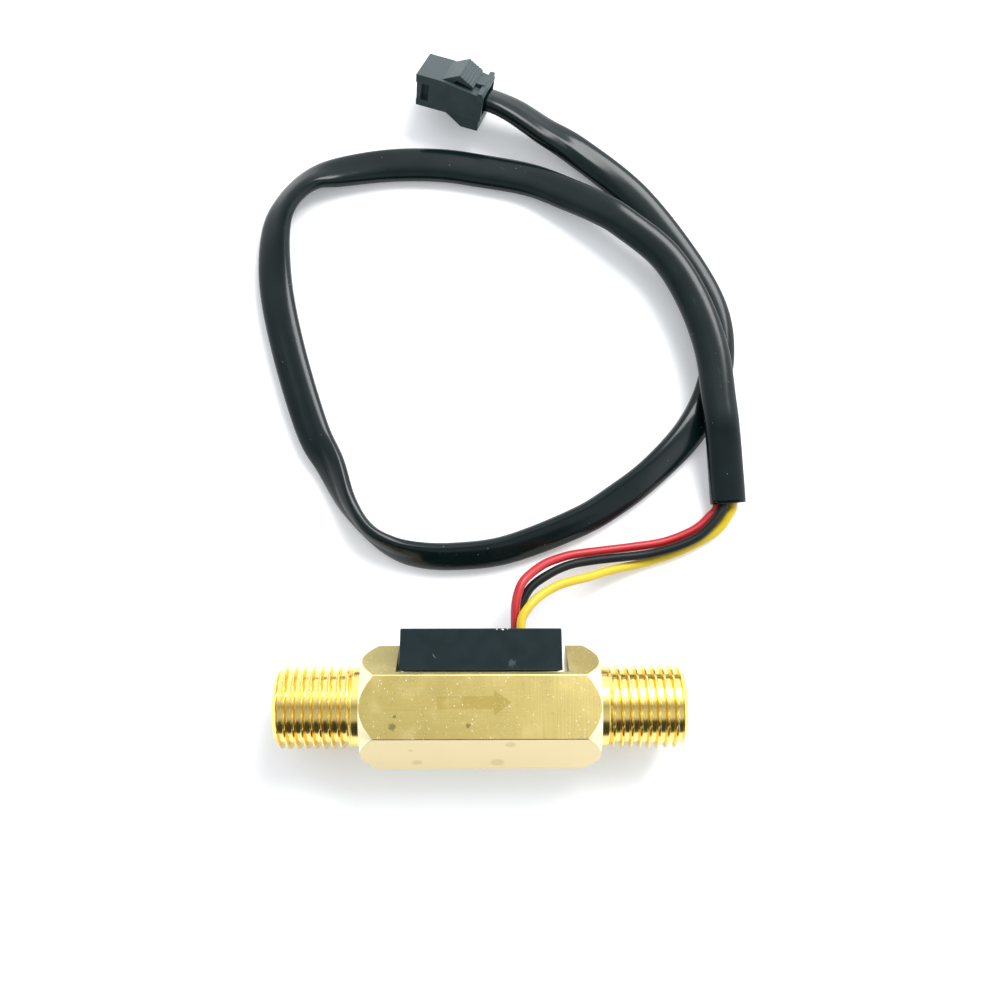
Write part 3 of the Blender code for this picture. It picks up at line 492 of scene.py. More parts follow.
# %% Hexagon bar
AXIS_HEIGHT = 9.0 * MM
HEX_ACROSS_FLATS = 2 * AXIS_HEIGHT
CORNER_RADIUS = HEX_ACROSS_FLATS / math.sqrt(3)
HEX_END = 20.0 * MM
BAR_LENGTH = 3 * HEX_END  # longer than needed, and cut to length below
LONG_EDGE = 0.16 * MM

bpy.ops.mesh.primitive_cylinder_add(
    vertices=6,
    radius=CORNER_RADIUS,
    depth=BAR_LENGTH,
    location=(0, 0, AXIS_HEIGHT),
    rotation=(0, math.radians(90), 0),
)
body = bpy.context.object
body.name = "threaded_body"
body.data.name = "threaded_body"
settle(body)
corners = sorted(round(point.co.y / MM, 2) for point in body.data.vertices)
print("hexagon corners along Y, mm:", corners[0], corners[-1])
edit(body)
pick_edges(lambda edge: abs(edge.verts[0].co.x - edge.verts[1].co.x) > HEX_END)
bpy.ops.mesh.bevel(offset=LONG_EDGE, segments=3, affect="EDGES")
leave()
print("bar faces:", len(body.data.polygons))

# %% [markdown]
# The lathe's work is a turned blank: an outline of places along the bore and radii, spun round
# it. What the bar and the blank share is the bar with its corners turned to cones. A boolean is
# used because each cone meets the hexagon in curves that would be hard to place by hand.

# %% Turned corners
SHOULDER_RADIUS = 8.9 * MM
CORNER_SLOPE = math.tan(math.radians(30))
BLANK_STEPS = 180


def turned(name, outline, steps):
    """A solid turned round the bore from (x, radius) points, as on a lathe."""
    points = [(x, 0, AXIS_HEIGHT + radius) for x, radius in outline]
    mesh = bpy.data.meshes.new(name)
    mesh.from_pydata(points, [(at, at + 1) for at in range(len(points) - 1)], [])
    piece = placed(name, mesh)
    edit(piece)
    centre = (0, 0, AXIS_HEIGHT)
    bpy.ops.mesh.spin(steps=steps, angle=2 * math.pi, center=centre, axis=(1, 0, 0))
    bpy.ops.mesh.select_all(action="SELECT")
    bpy.ops.mesh.remove_doubles(threshold=SAME_PLACE)
    face_outward()
    leave()
    return piece


def carve(piece, operation, tool):
    """Add, cut or keep what is shared with a second solid, which is used up."""
    apply(piece, "BOOLEAN", operation=operation, object=tool, solver="MANIFOLD")
    bpy.data.objects.remove(tool)


blank_radius = CORNER_RADIUS * 1.1  # clear of the bar's corners
blank_cone = (blank_radius - SHOULDER_RADIUS) / CORNER_SLOPE
blank_outline = [
    (-HEX_END, 0),
    (-HEX_END, SHOULDER_RADIUS),
    (-HEX_END + blank_cone, blank_radius),
    (HEX_END - blank_cone, blank_radius),
    (HEX_END, SHOULDER_RADIUS),
    (HEX_END, 0),
]
carve(body, "INTERSECT", turned("turned_blank", blank_outline, BLANK_STEPS))
print("faces with turned corners:", len(body.data.polygons))

# %% [markdown]
# The pocket is one straight pass of the mill. Its floor is flat, its two end walls stand square,
# and the edges that it leaves are crisp, with only the burr taken off.

# %% Milled pocket and broken edges
POCKET_FLAT = 5.65 * MM
POCKET_MIDDLE = 0.3 * MM
POCKET_LENGTH = 28.6 * MM
CUTTER_DEPTH = 20 * MM
CUTTER_HEIGHT = 30 * MM
TURNED_EDGE = 0.1 * MM
BODY_FLATNESS = 0.5  # degrees
BROKEN_FROM = 18  # degrees: an edge that turns by more is broken

bpy.ops.mesh.primitive_cube_add(size=1)
pocket = bpy.context.object
pocket.scale = (POCKET_LENGTH, CUTTER_DEPTH, CUTTER_HEIGHT)
pocket.location = (POCKET_MIDDLE, POCKET_FLAT + CUTTER_DEPTH / 2, AXIS_HEIGHT)
settle(pocket)
carve(body, "DIFFERENCE", pocket)
merge(body, flatness=BODY_FLATNESS)
break_edges(body, TURNED_EDGE, 2, BROKEN_FROM, clamp=True)
print("faces with broken edges:", len(body.data.polygons))

# %% [markdown]
# A thread could be cut with the Screw modifier, but its ends would be open and the run-out at the
# neck hard to shape. Here the spigot is turned plain with many fine rings, and then every point
# is moved to the thread's radius at its place along and round the axis. The crests follow a
# right-hand helix, the neck stays plain, and the chamfer at the end cuts across the last turns.

# %% Threaded spigots
SPIGOT_END = 34.5 * MM
THREAD_PITCH = 1.5 * MM
CREST_RADIUS = 7.0 * MM
ROOT_RADIUS = 6.15 * MM
NECK_RADIUS = 6.8 * MM
NECK_END = 21.3 * MM
RUN_IN = 0.9 * MM
END_CHAMFER = 1.0 * MM
SPIGOT_ROOT = 0.5 * MM  # how far a spigot reaches into the bar
FIRST_CREST = 0.25  # of a pitch past the neck
RIDGE_HALF = 0.28  # of a pitch, from a crest to the foot of its flank
FLANK = 0.2  # of a pitch
RINGS_A_PITCH = 18
LEAST_RING = 0.02 * MM
ROUND_STEPS = 120


def thread_radius(x, way):
    """The spigot's radius at a distance from the middle and an angle round the axis."""
    out = np.abs(x)
    lead = np.where(x > 0, way, np.pi - way) / (2 * np.pi)
    phase = ((out - NECK_END) / THREAD_PITCH - FIRST_CREST - lead) % 1.0
    ridge = eased((RIDGE_HALF - np.minimum(phase, 1 - phase)) / FLANK)
    cut = ROOT_RADIUS + (CREST_RADIUS - ROOT_RADIUS) * ridge
    radius = NECK_RADIUS + (cut - NECK_RADIUS) * eased((out - NECK_END) / RUN_IN)
    return np.minimum(radius, CREST_RADIUS - END_CHAMFER + (SPIGOT_END - out))


def threaded_spigot(name, side):
    """One end of the body, on the side -1 or 1, with its thread."""
    rings = np.arange(HEX_END - SPIGOT_ROOT, SPIGOT_END, THREAD_PITCH / RINGS_A_PITCH)
    rings = np.r_[rings[rings < SPIGOT_END - LEAST_RING], SPIGOT_END]
    outline = [(side * rings[0], 0)]
    outline += [(side * x, NECK_RADIUS) for x in rings]
    outline += [(side * SPIGOT_END, 0)]
    piece = turned(name, outline, ROUND_STEPS)
    places = np.zeros(len(piece.data.vertices) * 3)
    piece.data.vertices.foreach_get("co", places)
    places = places.reshape(-1, 3)
    x, y, z = places.T
    z = z - AXIS_HEIGHT
    skin = np.hypot(y, z) > NECK_RADIUS / 2
    way = np.arctan2(z, y)
    radius = thread_radius(x, way)
    places[skin, 1] = (radius * np.cos(way))[skin]
    places[skin, 2] = (radius * np.sin(way))[skin] + AXIS_HEIGHT
    piece.data.vertices.foreach_set("co", places.ravel())
    piece.data.update()
    return piece


for side, end_name in ((-1, "inlet_spigot"), (1, "outlet_spigot")):
    carve(body, "UNION", threaded_spigot(end_name, side))
print("faces with threads:", len(body.data.polygons))

# %% [markdown]
# The bore is stepped: a wide port at each end for the cages and their snap rings, and a narrower
# chamber in the middle for the rotor. One turned cutter takes it out in a single cut.

# %% Stepped bore
PORT_RADIUS = 4.75 * MM
CHAMBER_RADIUS = 4.0 * MM
CHAMBER_HALF = 6.5 * MM
GROOVE_START = 14.95 * MM
GROOVE_END = 16.1 * MM
GROOVE_RADIUS = 5.25 * MM
PORT_CHAMFER = 0.5 * MM

half_bore = [
    (CHAMBER_HALF, CHAMBER_RADIUS),
    (CHAMBER_HALF, PORT_RADIUS),
    (GROOVE_START, PORT_RADIUS),
    (GROOVE_START, GROOVE_RADIUS),
    (GROOVE_END, GROOVE_RADIUS),
    (GROOVE_END, PORT_RADIUS),
    (SPIGOT_END - PORT_CHAMFER, PORT_RADIUS),
    (SPIGOT_END + PORT_CHAMFER, PORT_RADIUS + 2 * PORT_CHAMFER),
    (SPIGOT_END + PORT_CHAMFER, 0),
]
bore_outline = [(-x, radius) for x, radius in reversed(half_bore)] + half_bore
carve(body, "DIFFERENCE", turned("bore_cutter", bore_outline, ROUND_STEPS))
print("faces with the bore:", len(body.data.polygons))

# %% [markdown]
# An arrow on the top face shows the way the water runs. It is a shallow frosted mark. Cutting it
# as a real recess gives the mark its own faces. A number stored on those faces, called frosted,
# later tells the finish to be duller there.

# %% Flow arrow
TOP = HEX_ACROSS_FLATS
ARROW_DEPTH = 0.03 * MM
ARROW_MIDDLE = 0.67 * MM
SHAFT_START = -7.1 * MM
SHAFT_HALF = 1.04 * MM
HEAD_START = 2.2 * MM
HEAD_HALF = 2.0 * MM
HEAD_TIP = 5.05 * MM
CUTTER_RISE = 1.0 * MM


def prism(name, points, rise):
    """A closed solid from one flat face and a straight rise."""
    mesh = bpy.data.meshes.new(name)
    mesh.from_pydata(points, [], [list(range(len(points)))])
    piece = placed(name, mesh)
    edit(piece)
    bpy.ops.mesh.extrude_region_move(TRANSFORM_OT_translate={"value": rise})
    face_outward()
    leave()
    return piece


half_arrow = [(SHAFT_START, SHAFT_HALF), (HEAD_START, SHAFT_HALF), (HEAD_START, HEAD_HALF)]
arrow_outline = half_arrow + [(HEAD_TIP, 0)] + [(x, -side) for x, side in reversed(half_arrow)]
arrow_points = [(x, ARROW_MIDDLE + side, TOP - ARROW_DEPTH) for x, side in arrow_outline]
carve(body, "DIFFERENCE", prism("arrow_cutter", arrow_points, (0, 0, CUTTER_RISE)))
print("faces with the arrow:", len(body.data.polygons))

# %% [markdown]
# Shading comes last. Cones and threads look round and the flats stay flat when edges are smooth
# up to an angle and the large faces lead the small ones. The faces on the arrow's floor are
# found by their height.

# %% Smooth the body's mesh
FINE_MERGE = 0.0002 * MM
BODY_SMOOTH = 28  # degrees
ARROW_FLOOR = (0.7, 1.3)  # of the arrow's depth
LEVEL = 0.99  # of a face's normal that points up


def smooth(piece, angle):
    """Shade smooth up to an angle, with the large flat faces kept flat."""
    choose(piece)
    bpy.ops.object.shade_smooth_by_angle(angle=math.radians(angle))
    apply(piece, "WEIGHTED_NORMAL", keep_sharp=True)


merge(body, FINE_MERGE)
smooth(body, BODY_SMOOTH)
frosted = body.data.attributes.new("frosted", "FLOAT", "FACE")
for face in body.data.polygons:
    x, y, z = face.center
    sunk = (TOP - z) / ARROW_DEPTH
    on_floor = ARROW_FLOOR[0] < sunk < ARROW_FLOOR[1] and face.normal.z > LEVEL
    frosted.data[face.index].value = float(on_floor and SHAFT_START < x < HEAD_TIP)
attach(body, "sensor_body")
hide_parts("brass_body")
print("body faces:", len(body.data.polygons), "frosted:", sum(item.value for item in frosted.data))

# %% [markdown]
# The sensor case, the plug and the parts in the bore are mouldings and small turned parts whose
# measured solids already have the right shape. Each gets a copy with its loose triangles merged
# and its flat faces joined, and where the edges can be seen they are rounded with a bevel.
# Building them again from primitives would only risk a different shape.

# %% Finish a copy of a measured solid
COPY_FLATNESS = 1  # degrees, as are the next two
COPY_SMOOTH = 32
ROUNDED_FROM = 30  # an edge that turns by more is rounded


def finished_copy(node_name, name, rounding=0.0, rides="sensor_body"):
    """A merged and smoothed copy that replaces a measured solid."""
    piece = placed(name, nodes[node_name].data.copy())
    piece.data.name = name
    piece.data.materials.clear()
    choose(piece)
    bpy.ops.mesh.customdata_custom_splitnormals_clear()
    merge(piece, flatness=COPY_FLATNESS)
    if rounding:
        break_edges(piece, rounding, 3, ROUNDED_FROM, clamp=False)
    smooth(piece, COPY_SMOOTH)
    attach(piece, rides)
    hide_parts(node_name)
    print(name, "faces:", len(piece.data.polygons))
    return piece


CASE_EDGE = 0.2 * MM
PLUG_EDGE = 0.07 * MM
MAGNET_EDGE = 0.06 * MM

sensor_case = finished_copy("hall_case", "sensor_case", CASE_EDGE)
plug = finished_copy("plug_housing", "latch_plug", PLUG_EDGE)
spin_cage = finished_copy("inlet_guide", "spin_cage")
rear_cage = finished_copy("outlet_support", "rear_cage")
inlet_clip = finished_copy("inlet_snap_ring", "inlet_clip")
outlet_clip = finished_copy("outlet_snap_ring", "outlet_clip")
turbine = finished_copy("rotor", "turbine", rides="rotor_body")
magnet = finished_copy("ring_magnet", "magnet", MAGNET_EDGE, "rotor_body")
pin = finished_copy("rotor_shaft", "pin", rides="rotor_body")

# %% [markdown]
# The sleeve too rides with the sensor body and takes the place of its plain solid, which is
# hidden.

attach(sleeve, "sensor_body")
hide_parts("cable_sleeve")

# %% [markdown]
# The sensor case is filled with a black sealing resin. It was poured in as a liquid, so it creeps
# up a little at the walls and at the wires. A fine grid stands for its surface, each point of
# which is raised by its distance from what the liquid clung to.

# %% Poured resin
RESIN_LEVEL = 12.55 * MM
RESIN_DEPTH = 2.4 * MM
RESIN_MIDDLE = 0.05 * MM
RESIN_LENGTH = 24.92 * MM
RESIN_WIDTH = 9.62 * MM
CREEP = 0.28 * MM
CREEP_REACH = 0.45 * MM
GRID = (124, 48)
RESIN_SMOOTH = 60  # degrees

bpy.ops.mesh.primitive_grid_add(x_subdivisions=GRID[0], y_subdivisions=GRID[1], size=1)
resin = bpy.context.object
resin.name = "poured_resin"
resin.data.name = "poured_resin"
resin.scale = (RESIN_LENGTH, RESIN_WIDTH, 1)
resin.rotation_euler = (math.radians(-90), 0, 0)
resin.location = (RESIN_MIDDLE, RESIN_LEVEL, AXIS_HEIGHT)
settle(resin)
edit(resin)
bpy.ops.mesh.extrude_region_move(TRANSFORM_OT_translate={"value": (0, -RESIN_DEPTH, 0)})
face_outward()
leave()
exits = [line[0] for line in wire_lines.values()]
for point in resin.data.vertices:
    x, y, z = point.co
    if y < RESIN_LEVEL - RESIN_DEPTH / 2:
        continue
    to_end = RESIN_LENGTH / 2 - abs(x - RESIN_MIDDLE)
    to_side = RESIN_WIDTH / 2 - abs(z - AXIS_HEIGHT)
    to_wires = [math.hypot(x - spot[0], z - spot[2]) - WIRE_DIAMETER / 2 for spot in exits]
    for gap in (min(to_end, to_side), max(0, min(to_wires))):
        point.co.y += CREEP * math.exp(-gap / CREEP_REACH)
smooth(resin, RESIN_SMOOTH)
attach(resin, "sensor_body")
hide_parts("potting_resin")
print("resin faces:", len(resin.data.polygons))

# %% [markdown]
# Finishes are written as sums. A small class wraps a socket, so that adding or multiplying two
# patterns places the Math nodes for it. Everything else goes through one method that adds a node
# with its settings and its inputs. It is the same work as wiring by hand, but it can be read.
# The soft step is here too, because the finishes and the room round them both need it.


# %% Arithmetic on sockets
class Signal:
    """An output socket, on which arithmetic adds Math nodes."""

    def __init__(self, network, socket):
        self.network = network
        self.socket = socket

    def math(self, operation, first, second):
        return self.network.add("ShaderNodeMath", {"operation": operation}, {0: first, 1: second})

    def __add__(self, other):
        return self.math("ADD", self, other)

    def __sub__(self, other):
        return self.math("SUBTRACT", self, other)

    def __rsub__(self, other):
        return self.math("SUBTRACT", other, self)

    def __mul__(self, other):
        return self.math("MULTIPLY", self, other)

    __radd__ = __add__
    __rmul__ = __mul__


class Network:
    """A node tree to which nodes are added one by one."""

    def __init__(self, tree):
        self.tree = tree

    def feed(self, socket, value):
        """Link a signal to an input, or set a plain value on it."""
        if isinstance(value, Signal):
            self.tree.links.new(value.socket, socket)
        else:
            socket.default_value = value

    def add(self, kind, settings, inputs, output=0):
        """A new node with its settings, and its inputs by name or number. Gives one output."""
        node = self.tree.nodes.new(kind)
        for name, value in settings.items():
            if name == "stops":
                ramp = node.color_ramp.elements
                while len(ramp) < len(value):
                    ramp.new(1)
                for element, (at, level) in zip(ramp, value):
                    element.position = at
                    element.color = (level, level, level, 1)
            else:
                setattr(node, name, value)
        for key, value in inputs.items():
            self.feed(node.inputs[key], value)
        return Signal(self, node.outputs[output])

    def split(self, vector):
        """The three parts of a vector."""
        parts = self.add("ShaderNodeSeparateXYZ", {}, {0: vector}).socket.node.outputs
        return [Signal(self, part) for part in parts]

    def step(self, value, low, high):
        """Nothing below the low value, all above the high one, and soft between them."""
        settings = {"interpolation_type": "SMOOTHSTEP"}
        inputs = {"Value": value, "From Min": low, "From Max": high}
        return self.add("ShaderNodeMapRange", settings, inputs)


# %% [markdown]
# A finish is a material with one Principled shader. Its patterns read the object's own
# coordinates, turned into millimetres. The helpers below are the few patterns that this object
# needs: cloudy noise, small specks and a spot at a place.


# %% Finishes
def rgb(red, green, blue):
    return (red, green, blue, 1)


class Finish(Network):
    """A material with one shader, and the patterns that the finishes here are made of."""

    def __init__(self, name, **constants):
        self.material = bpy.data.materials.new(name)
        self.material.use_nodes = True
        super().__init__(self.material.node_tree)
        self.shader = self.tree.nodes["Principled BSDF"]
        self.constant(**constants)

    def constant(self, **values):
        """Set the shader's own sockets, named in lower case."""
        for name, value in values.items():
            label = name.replace("_", " ").title().replace("Ior", "IOR")
            self.shader.inputs[label].default_value = value

    def set(self, socket, value):
        """Feed one of the shader's inputs."""
        self.feed(self.shader.inputs[socket], value)

    def scaled(self, vector, *scale):
        """A vector with each part multiplied."""
        return self.add("ShaderNodeVectorMath", {"operation": "MULTIPLY"}, {0: vector, 1: scale})

    def place(self):
        """Object coordinates in millimetres."""
        source = self.add("ShaderNodeTexCoord", {}, {}, "Object")
        return self.scaled(source, 1000, 1000, 1000)

    def noise(self, vector, scale, detail=2.0):
        """Cloudy noise from 0 to 1."""
        inputs = {"Vector": vector, "Scale": scale, "Detail": detail}
        return self.add("ShaderNodeTexNoise", {}, inputs)

    def specks(self, vector, scale, size, share):
        """Small round specks, of which clumps remain."""
        cells = self.add("ShaderNodeTexVoronoi", {}, {"Vector": vector, "Scale": scale})
        clumps = self.step(self.noise(vector, scale * 0.3, 3.0), 1 - share, 1.03 - share)
        return (1 - self.step(cells, size * 0.6, size)) * clumps

    def spot(self, vector, centre, radius, ragged=0.0):
        """A soft round spot at a place, with a ragged edge if asked."""
        inputs = {0: vector, 1: centre}
        distance = self.add("ShaderNodeVectorMath", {"operation": "DISTANCE"}, inputs, 1)
        if ragged:
            distance = distance + (self.noise(vector, 3.0, 4.0) - 0.5) * (ragged * radius * 4)
        return 1 - self.step(distance, radius * 0.55, radius)

    def mix(self, factor, first, second):
        """Between two colours."""
        inputs = {0: factor, 6: first, 7: second}
        return self.add("ShaderNodeMix", {"data_type": "RGBA"}, inputs, 2)

    def relief(self, height, depth):
        """Small bumps of this depth in metres."""
        inputs = {"Strength": 1.0, "Distance": depth, "Height": height}
        self.set("Normal", self.add("ShaderNodeBump", {}, inputs))


def dress(finish, *pieces):
    """Give these pieces this finish alone."""
    for piece in pieces:
        piece.data.materials.clear()
        piece.data.materials.append(finish.material)


# %% [markdown]
# The brass shows how each face was made. The drawn flats are dull with fine lines, and the cones
# and the threads were turned and shine. Some light is painted into the colour: the flat on the
# near side and the cones are paler, a painted reflection of the lit floor, the upper flat is
# darker, a painted shade, and the top flat brightens towards the right, a painted gradient of
# light. Each kind of face is found by its place on the hexagon, which is known exactly.

# %% Brass: which face is where
# All of these are in millimetres, as the finish's own places are.
FLAT = 9.0  # from the axis to each flat
SIDE_FLAT = (FLAT - 0.1, FLAT - 0.05)  # where a side flat's finish starts and is whole
TOP_FLAT = (FLAT - 0.07, FLAT - 0.04)  # below the arrow's floor, which is dressed as the top
BAR_END = HEX_END / MM
END_BLEND = 0.03
SIDE_UP = math.sin(math.radians(30))  # the flats beside the top one face 30 degrees up
SIDE_OUT = math.cos(math.radians(30))

brass = Finish("turned_brass", metallic=1.0)
place = brass.place()
x, y, z = brass.split(place)
rise = z - AXIS_HEIGHT / MM
on_top = brass.step(rise, *TOP_FLAT)
on_upper = brass.step(y * SIDE_OUT + rise * SIDE_UP, *SIDE_FLAT)
on_lower = brass.step(rise * SIDE_UP - y * SIDE_OUT, *SIDE_FLAT)
outward = brass.add("ShaderNodeMath", {"operation": "ABSOLUTE"}, {0: x})
on_spigot = brass.step(outward, BAR_END, BAR_END + END_BLEND)
in_mark = brass.add("ShaderNodeAttribute", {"attribute_name": "frosted"}, {}, "Fac")

# %% Brass: drawn lines, milled ribs, and raised specks with painted glints
RIBS_FROM = 3.0  # mm along the top flat, where the milled ribs begin to show
RIBS_FULL = 9.0

lines = brass.noise(brass.scaled(place, 0.12, 7.0, 3.0), 1.0, 3.0)
ribs = brass.noise(brass.scaled(place, 4.2, 0.1, 0.5), 1.0, 1.0)
ribbed = brass.step(x, RIBS_FROM, RIBS_FULL)
clouds = brass.noise(place, 0.25, 3.0)
grain = (lines - 0.5) * (1 - ribbed) + (ribs - 0.5) * ribbed
# Raised specks on the flats: their bump and extra roughness are real, and their pale colour is a
# painted glint.
glint_specks = brass.specks(brass.scaled(place, 1.3, 1, 1), 1.2, 0.16, 0.53)
fine_glint_specks = brass.specks(brass.scaled(place, 1, 1, 1.3), 2.6, 0.2, 0.54)
pits = brass.specks(brass.scaled(place, 1.2, 1, 1), 1.7, 0.17, 0.5)
flats = on_top + on_upper
glints_and_bumps = (glint_specks + fine_glint_specks * 0.6) * flats

# %% Brass: colour
# The cones' pale cream colour is a painted reflection of the lit floor. The layers below are laid
# over it on the other faces.
CONE_BRASS = rgb(0.98, 0.88, 0.55)
# The top flat runs from darker on the left to lighter on the right: a painted gradient of light,
# brighter towards the window on the right.
TOP_SHADED_LEFT_BRASS = rgb(0.78, 0.615, 0.205)
TOP_LIT_RIGHT_BRASS = rgb(0.92, 0.73, 0.27)
STAIN_BRASS = rgb(0.2, 0.16, 0.05)
OVAL_BRASS = rgb(0.50, 0.41, 0.2)
# Stains on the top flat and faint ovals on the lower one: the middle and the radius in mm.
STAINS = (
    ((-14.34, -3.13, 18.0), 0.7),
    ((-14.0, -1.5, 18.0), 0.35),
    ((-2.03, -3.0, 18.0), 0.5),
)
OVALS = (
    ((4.9, -6.06, 16.5), 1.1),
    ((2.8, -9.18, 11.1), 1.45),
    ((-10.6, -9.18, 11.1), 1.1),
    ((-11.5, -7.04, 14.8), 0.5),
)

top_painted_light = brass.mix(brass.step(x, -4.0, 19.0), TOP_SHADED_LEFT_BRASS, TOP_LIT_RIGHT_BRASS)
layers = (
    (on_spigot, rgb(0.93, 0.72, 0.24)),
    # The upper flat is drawn like the top one, and its darker colour is painted shade.
    (on_upper, rgb(0.66, 0.55, 0.23)),
    # The lower flat's paler colour is a painted reflection of the lit floor.
    (on_lower, rgb(0.66, 0.545, 0.30)),
    (on_top, top_painted_light),
    (in_mark, rgb(0.64, 0.485, 0.135)),
    (flats * brass.step(0.5 - grain, 0.2, 0.8) * 0.22, rgb(0.45, 0.37, 0.12)),
    (flats * brass.step(clouds, 0.5, 0.7) * 0.2, rgb(0.95, 0.85, 0.42)),
    # painted glints on the raised specks
    (glints_and_bumps, rgb(1.0, 0.96, 0.74)),
    (pits * flats * 0.55, rgb(0.22, 0.18, 0.06)),
)
colour = CONE_BRASS
for share, tone in layers:
    colour = brass.mix(share, colour, tone)
for centre, radius in STAINS:
    colour = brass.mix(brass.spot(place, centre, radius, 0.4) * 0.65, colour, STAIN_BRASS)
for centre, radius in OVALS:
    colour = brass.mix(brass.spot(place, centre, radius, 0.05) * 0.7, colour, OVAL_BRASS)
brass.set("Base Color", colour)

# %% Brass: roughness and relief
BRASS_RELIEF = 0.004 * MM

rough = 0.30 - 0.12 * on_spigot + 0.10 * flats - 0.06 * on_lower + 0.03 * in_mark
brass.set("Roughness", rough + (clouds - 0.5) * 0.12 + glints_and_bumps * 0.1)
brass.relief(grain * flats + glints_and_bumps * 0.8 - pits * flats, BRASS_RELIEF)
dress(brass, body)
print("brass nodes:", len(brass.tree.nodes))

# %% [markdown]
# The case is a dark satin moulding. What tells it apart from plain black is small: a clouded
# roughness, a faint grain, a scratch, a smudge and pale spots on its top edge where the wires come
# out. Each mark is a pattern at its own place, since a painted picture would blur at the edges.


# %% Sensor case
def moulded(name, dark, light, roughness, grain_scale=1.5, depth=0.004, **constants):
    """A moulded plastic: two close colours in clouds, a varied gloss and a fine grain."""
    finish = Finish(name, **constants)
    place = finish.place()
    clouds = finish.noise(place, 0.35, 4.0)
    grain = finish.noise(place, grain_scale * 4, 3.0)
    finish.base = finish.mix(finish.step(clouds, 0.3, 0.7), dark, light)
    finish.set("Base Color", finish.base)
    finish.set("Roughness", roughness + (clouds - 0.5) * 0.16 + (grain - 0.5) * 0.08)
    finish.relief(grain, depth * MM)
    return finish


# Places and sizes of the marks, in millimetres.
CASE_FACE = (14.9, 14.95)  # heights between which the marks on the face begin
SCRATCH = (-7.78, 8.35)
SCRATCH_TURN = math.radians(-52)
SCRATCH_ENDS = (0.1136, 0.2045)  # the square of half its length, as it starts to fade and ends
SCRATCH_SIDES = (0.0008, 0.003)  # the same for its width
SMUDGE = (5.23, 7.17, 15.0)
# Pale spots on the top edge where the wires come out: a pale colour only, with no bump.
PALE_SPOTS = ((2.7, 12.85, 14.95), (3.5, 12.9, 14.95), (3.75, 12.75, 14.98), (4.5, 12.9, 14.95))
PALE_SPOT_RADIUS = 0.17

dark, light = rgb(0.0065, 0.014, 0.0162), rgb(0.008, 0.017, 0.0195)
case_finish = moulded("case_plastic", dark, light, 0.32, specular_ior_level=0.25)
place = case_finish.place()
x, y, z = case_finish.split(place)
cosine = math.cos(SCRATCH_TURN)
sine = math.sin(SCRATCH_TURN)
along = (x - SCRATCH[0]) * cosine + (y - SCRATCH[1]) * sine
across = (y - SCRATCH[1]) * cosine - (x - SCRATCH[0]) * sine
length = 1 - case_finish.step(along * along, *SCRATCH_ENDS)
width = 1 - case_finish.step(across * across, *SCRATCH_SIDES)
scratch = length * width * case_finish.step(z, *CASE_FACE)
smudge = case_finish.spot(place, SMUDGE, 0.7, 0.6)
marks = case_finish.mix(scratch * 0.6, case_finish.base, rgb(0.25, 0.3, 0.32))
marks = case_finish.mix(smudge * 0.3, marks, rgb(0.12, 0.15, 0.15))
for centre in PALE_SPOTS:
    pale_spot = case_finish.spot(place, centre, PALE_SPOT_RADIUS, 0.5)
    marks = case_finish.mix(pale_spot, marks, rgb(0.7, 0.72, 0.72))
case_finish.set("Base Color", marks)
dress(case_finish, sensor_case)
print("case nodes:", len(case_finish.tree.nodes))

# %% [markdown]
# The plug is nylon, a little lighter and duller than the case. What is inside the sensor is
# dressed with the same function: acetal, ferrite, steel, the board and its parts, and the resin.
# Each line gives two close colours and a roughness, and for some a grain and its depth.

# %% Plug, inner parts and resin
dark, light = rgb(0.031, 0.048, 0.051), rgb(0.038, 0.056, 0.058)
nylon = moulded("plug_nylon", dark, light, 0.4, 2.0, 0.006, specular_ior_level=0.22)
white_acetal = moulded("white_acetal", rgb(0.80, 0.80, 0.75), rgb(0.84, 0.84, 0.81), 0.38)
blue_acetal = moulded("blue_acetal", rgb(0.09, 0.20, 0.43), rgb(0.11, 0.24, 0.47), 0.36)
ferrite = moulded("ferrite", rgb(0.05, 0.05, 0.055), rgb(0.07, 0.07, 0.075), 0.62, 3.0, 0.01)
board = moulded("board_green", rgb(0.015, 0.14, 0.06), rgb(0.025, 0.18, 0.08), 0.3)
chip = moulded("chip_black", rgb(0.018, 0.018, 0.018), rgb(0.024, 0.024, 0.024), 0.55, 3.0, 0.008)
ceramic = moulded("ceramic", rgb(0.42, 0.31, 0.18), rgb(0.48, 0.35, 0.22), 0.4)
resistor = moulded("resistor_black", rgb(0.028, 0.028, 0.032), rgb(0.034, 0.034, 0.038), 0.4)
dark, light = rgb(0.6, 0.6, 0.6), rgb(0.68, 0.68, 0.68)
steel = moulded("stainless_steel", dark, light, 0.28, 4.0, 0.002, metallic=1.0)
dark, light = rgb(0.66, 0.64, 0.58), rgb(0.74, 0.72, 0.66)
tin = moulded("tinned_brass", dark, light, 0.3, 2.0, 0.002, metallic=1.0)
dark, light = rgb(0.005, 0.006, 0.007), rgb(0.008, 0.009, 0.01)
poured = moulded("sealing_resin", dark, light, 0.16, 0.3, 0.03)
dress(nylon, plug)
dress(poured, resin)
dress(white_acetal, spin_cage, rear_cage)
dress(steel, inlet_clip, outlet_clip, pin)
dress(blue_acetal, turbine)
dress(ferrite, magnet)
dress(board, nodes["circuit_board"])
dress(chip, nodes["hall_chip"])
dress(ceramic, nodes["capacitor"])
dress(resistor, nodes["pull_up_resistor"])
dress(tin, *[nodes[f"{colour}_terminal"] for colour in wires])
print("finishes so far:", len(bpy.data.materials))

# %% [markdown]
# Wire insulation and the sleeve are soft vinyl, pushed out of a die, so what marks they have run
# along them. Their UV maps hold the distance along and the way round, and the streaks and scuffs
# are stretched along the first.


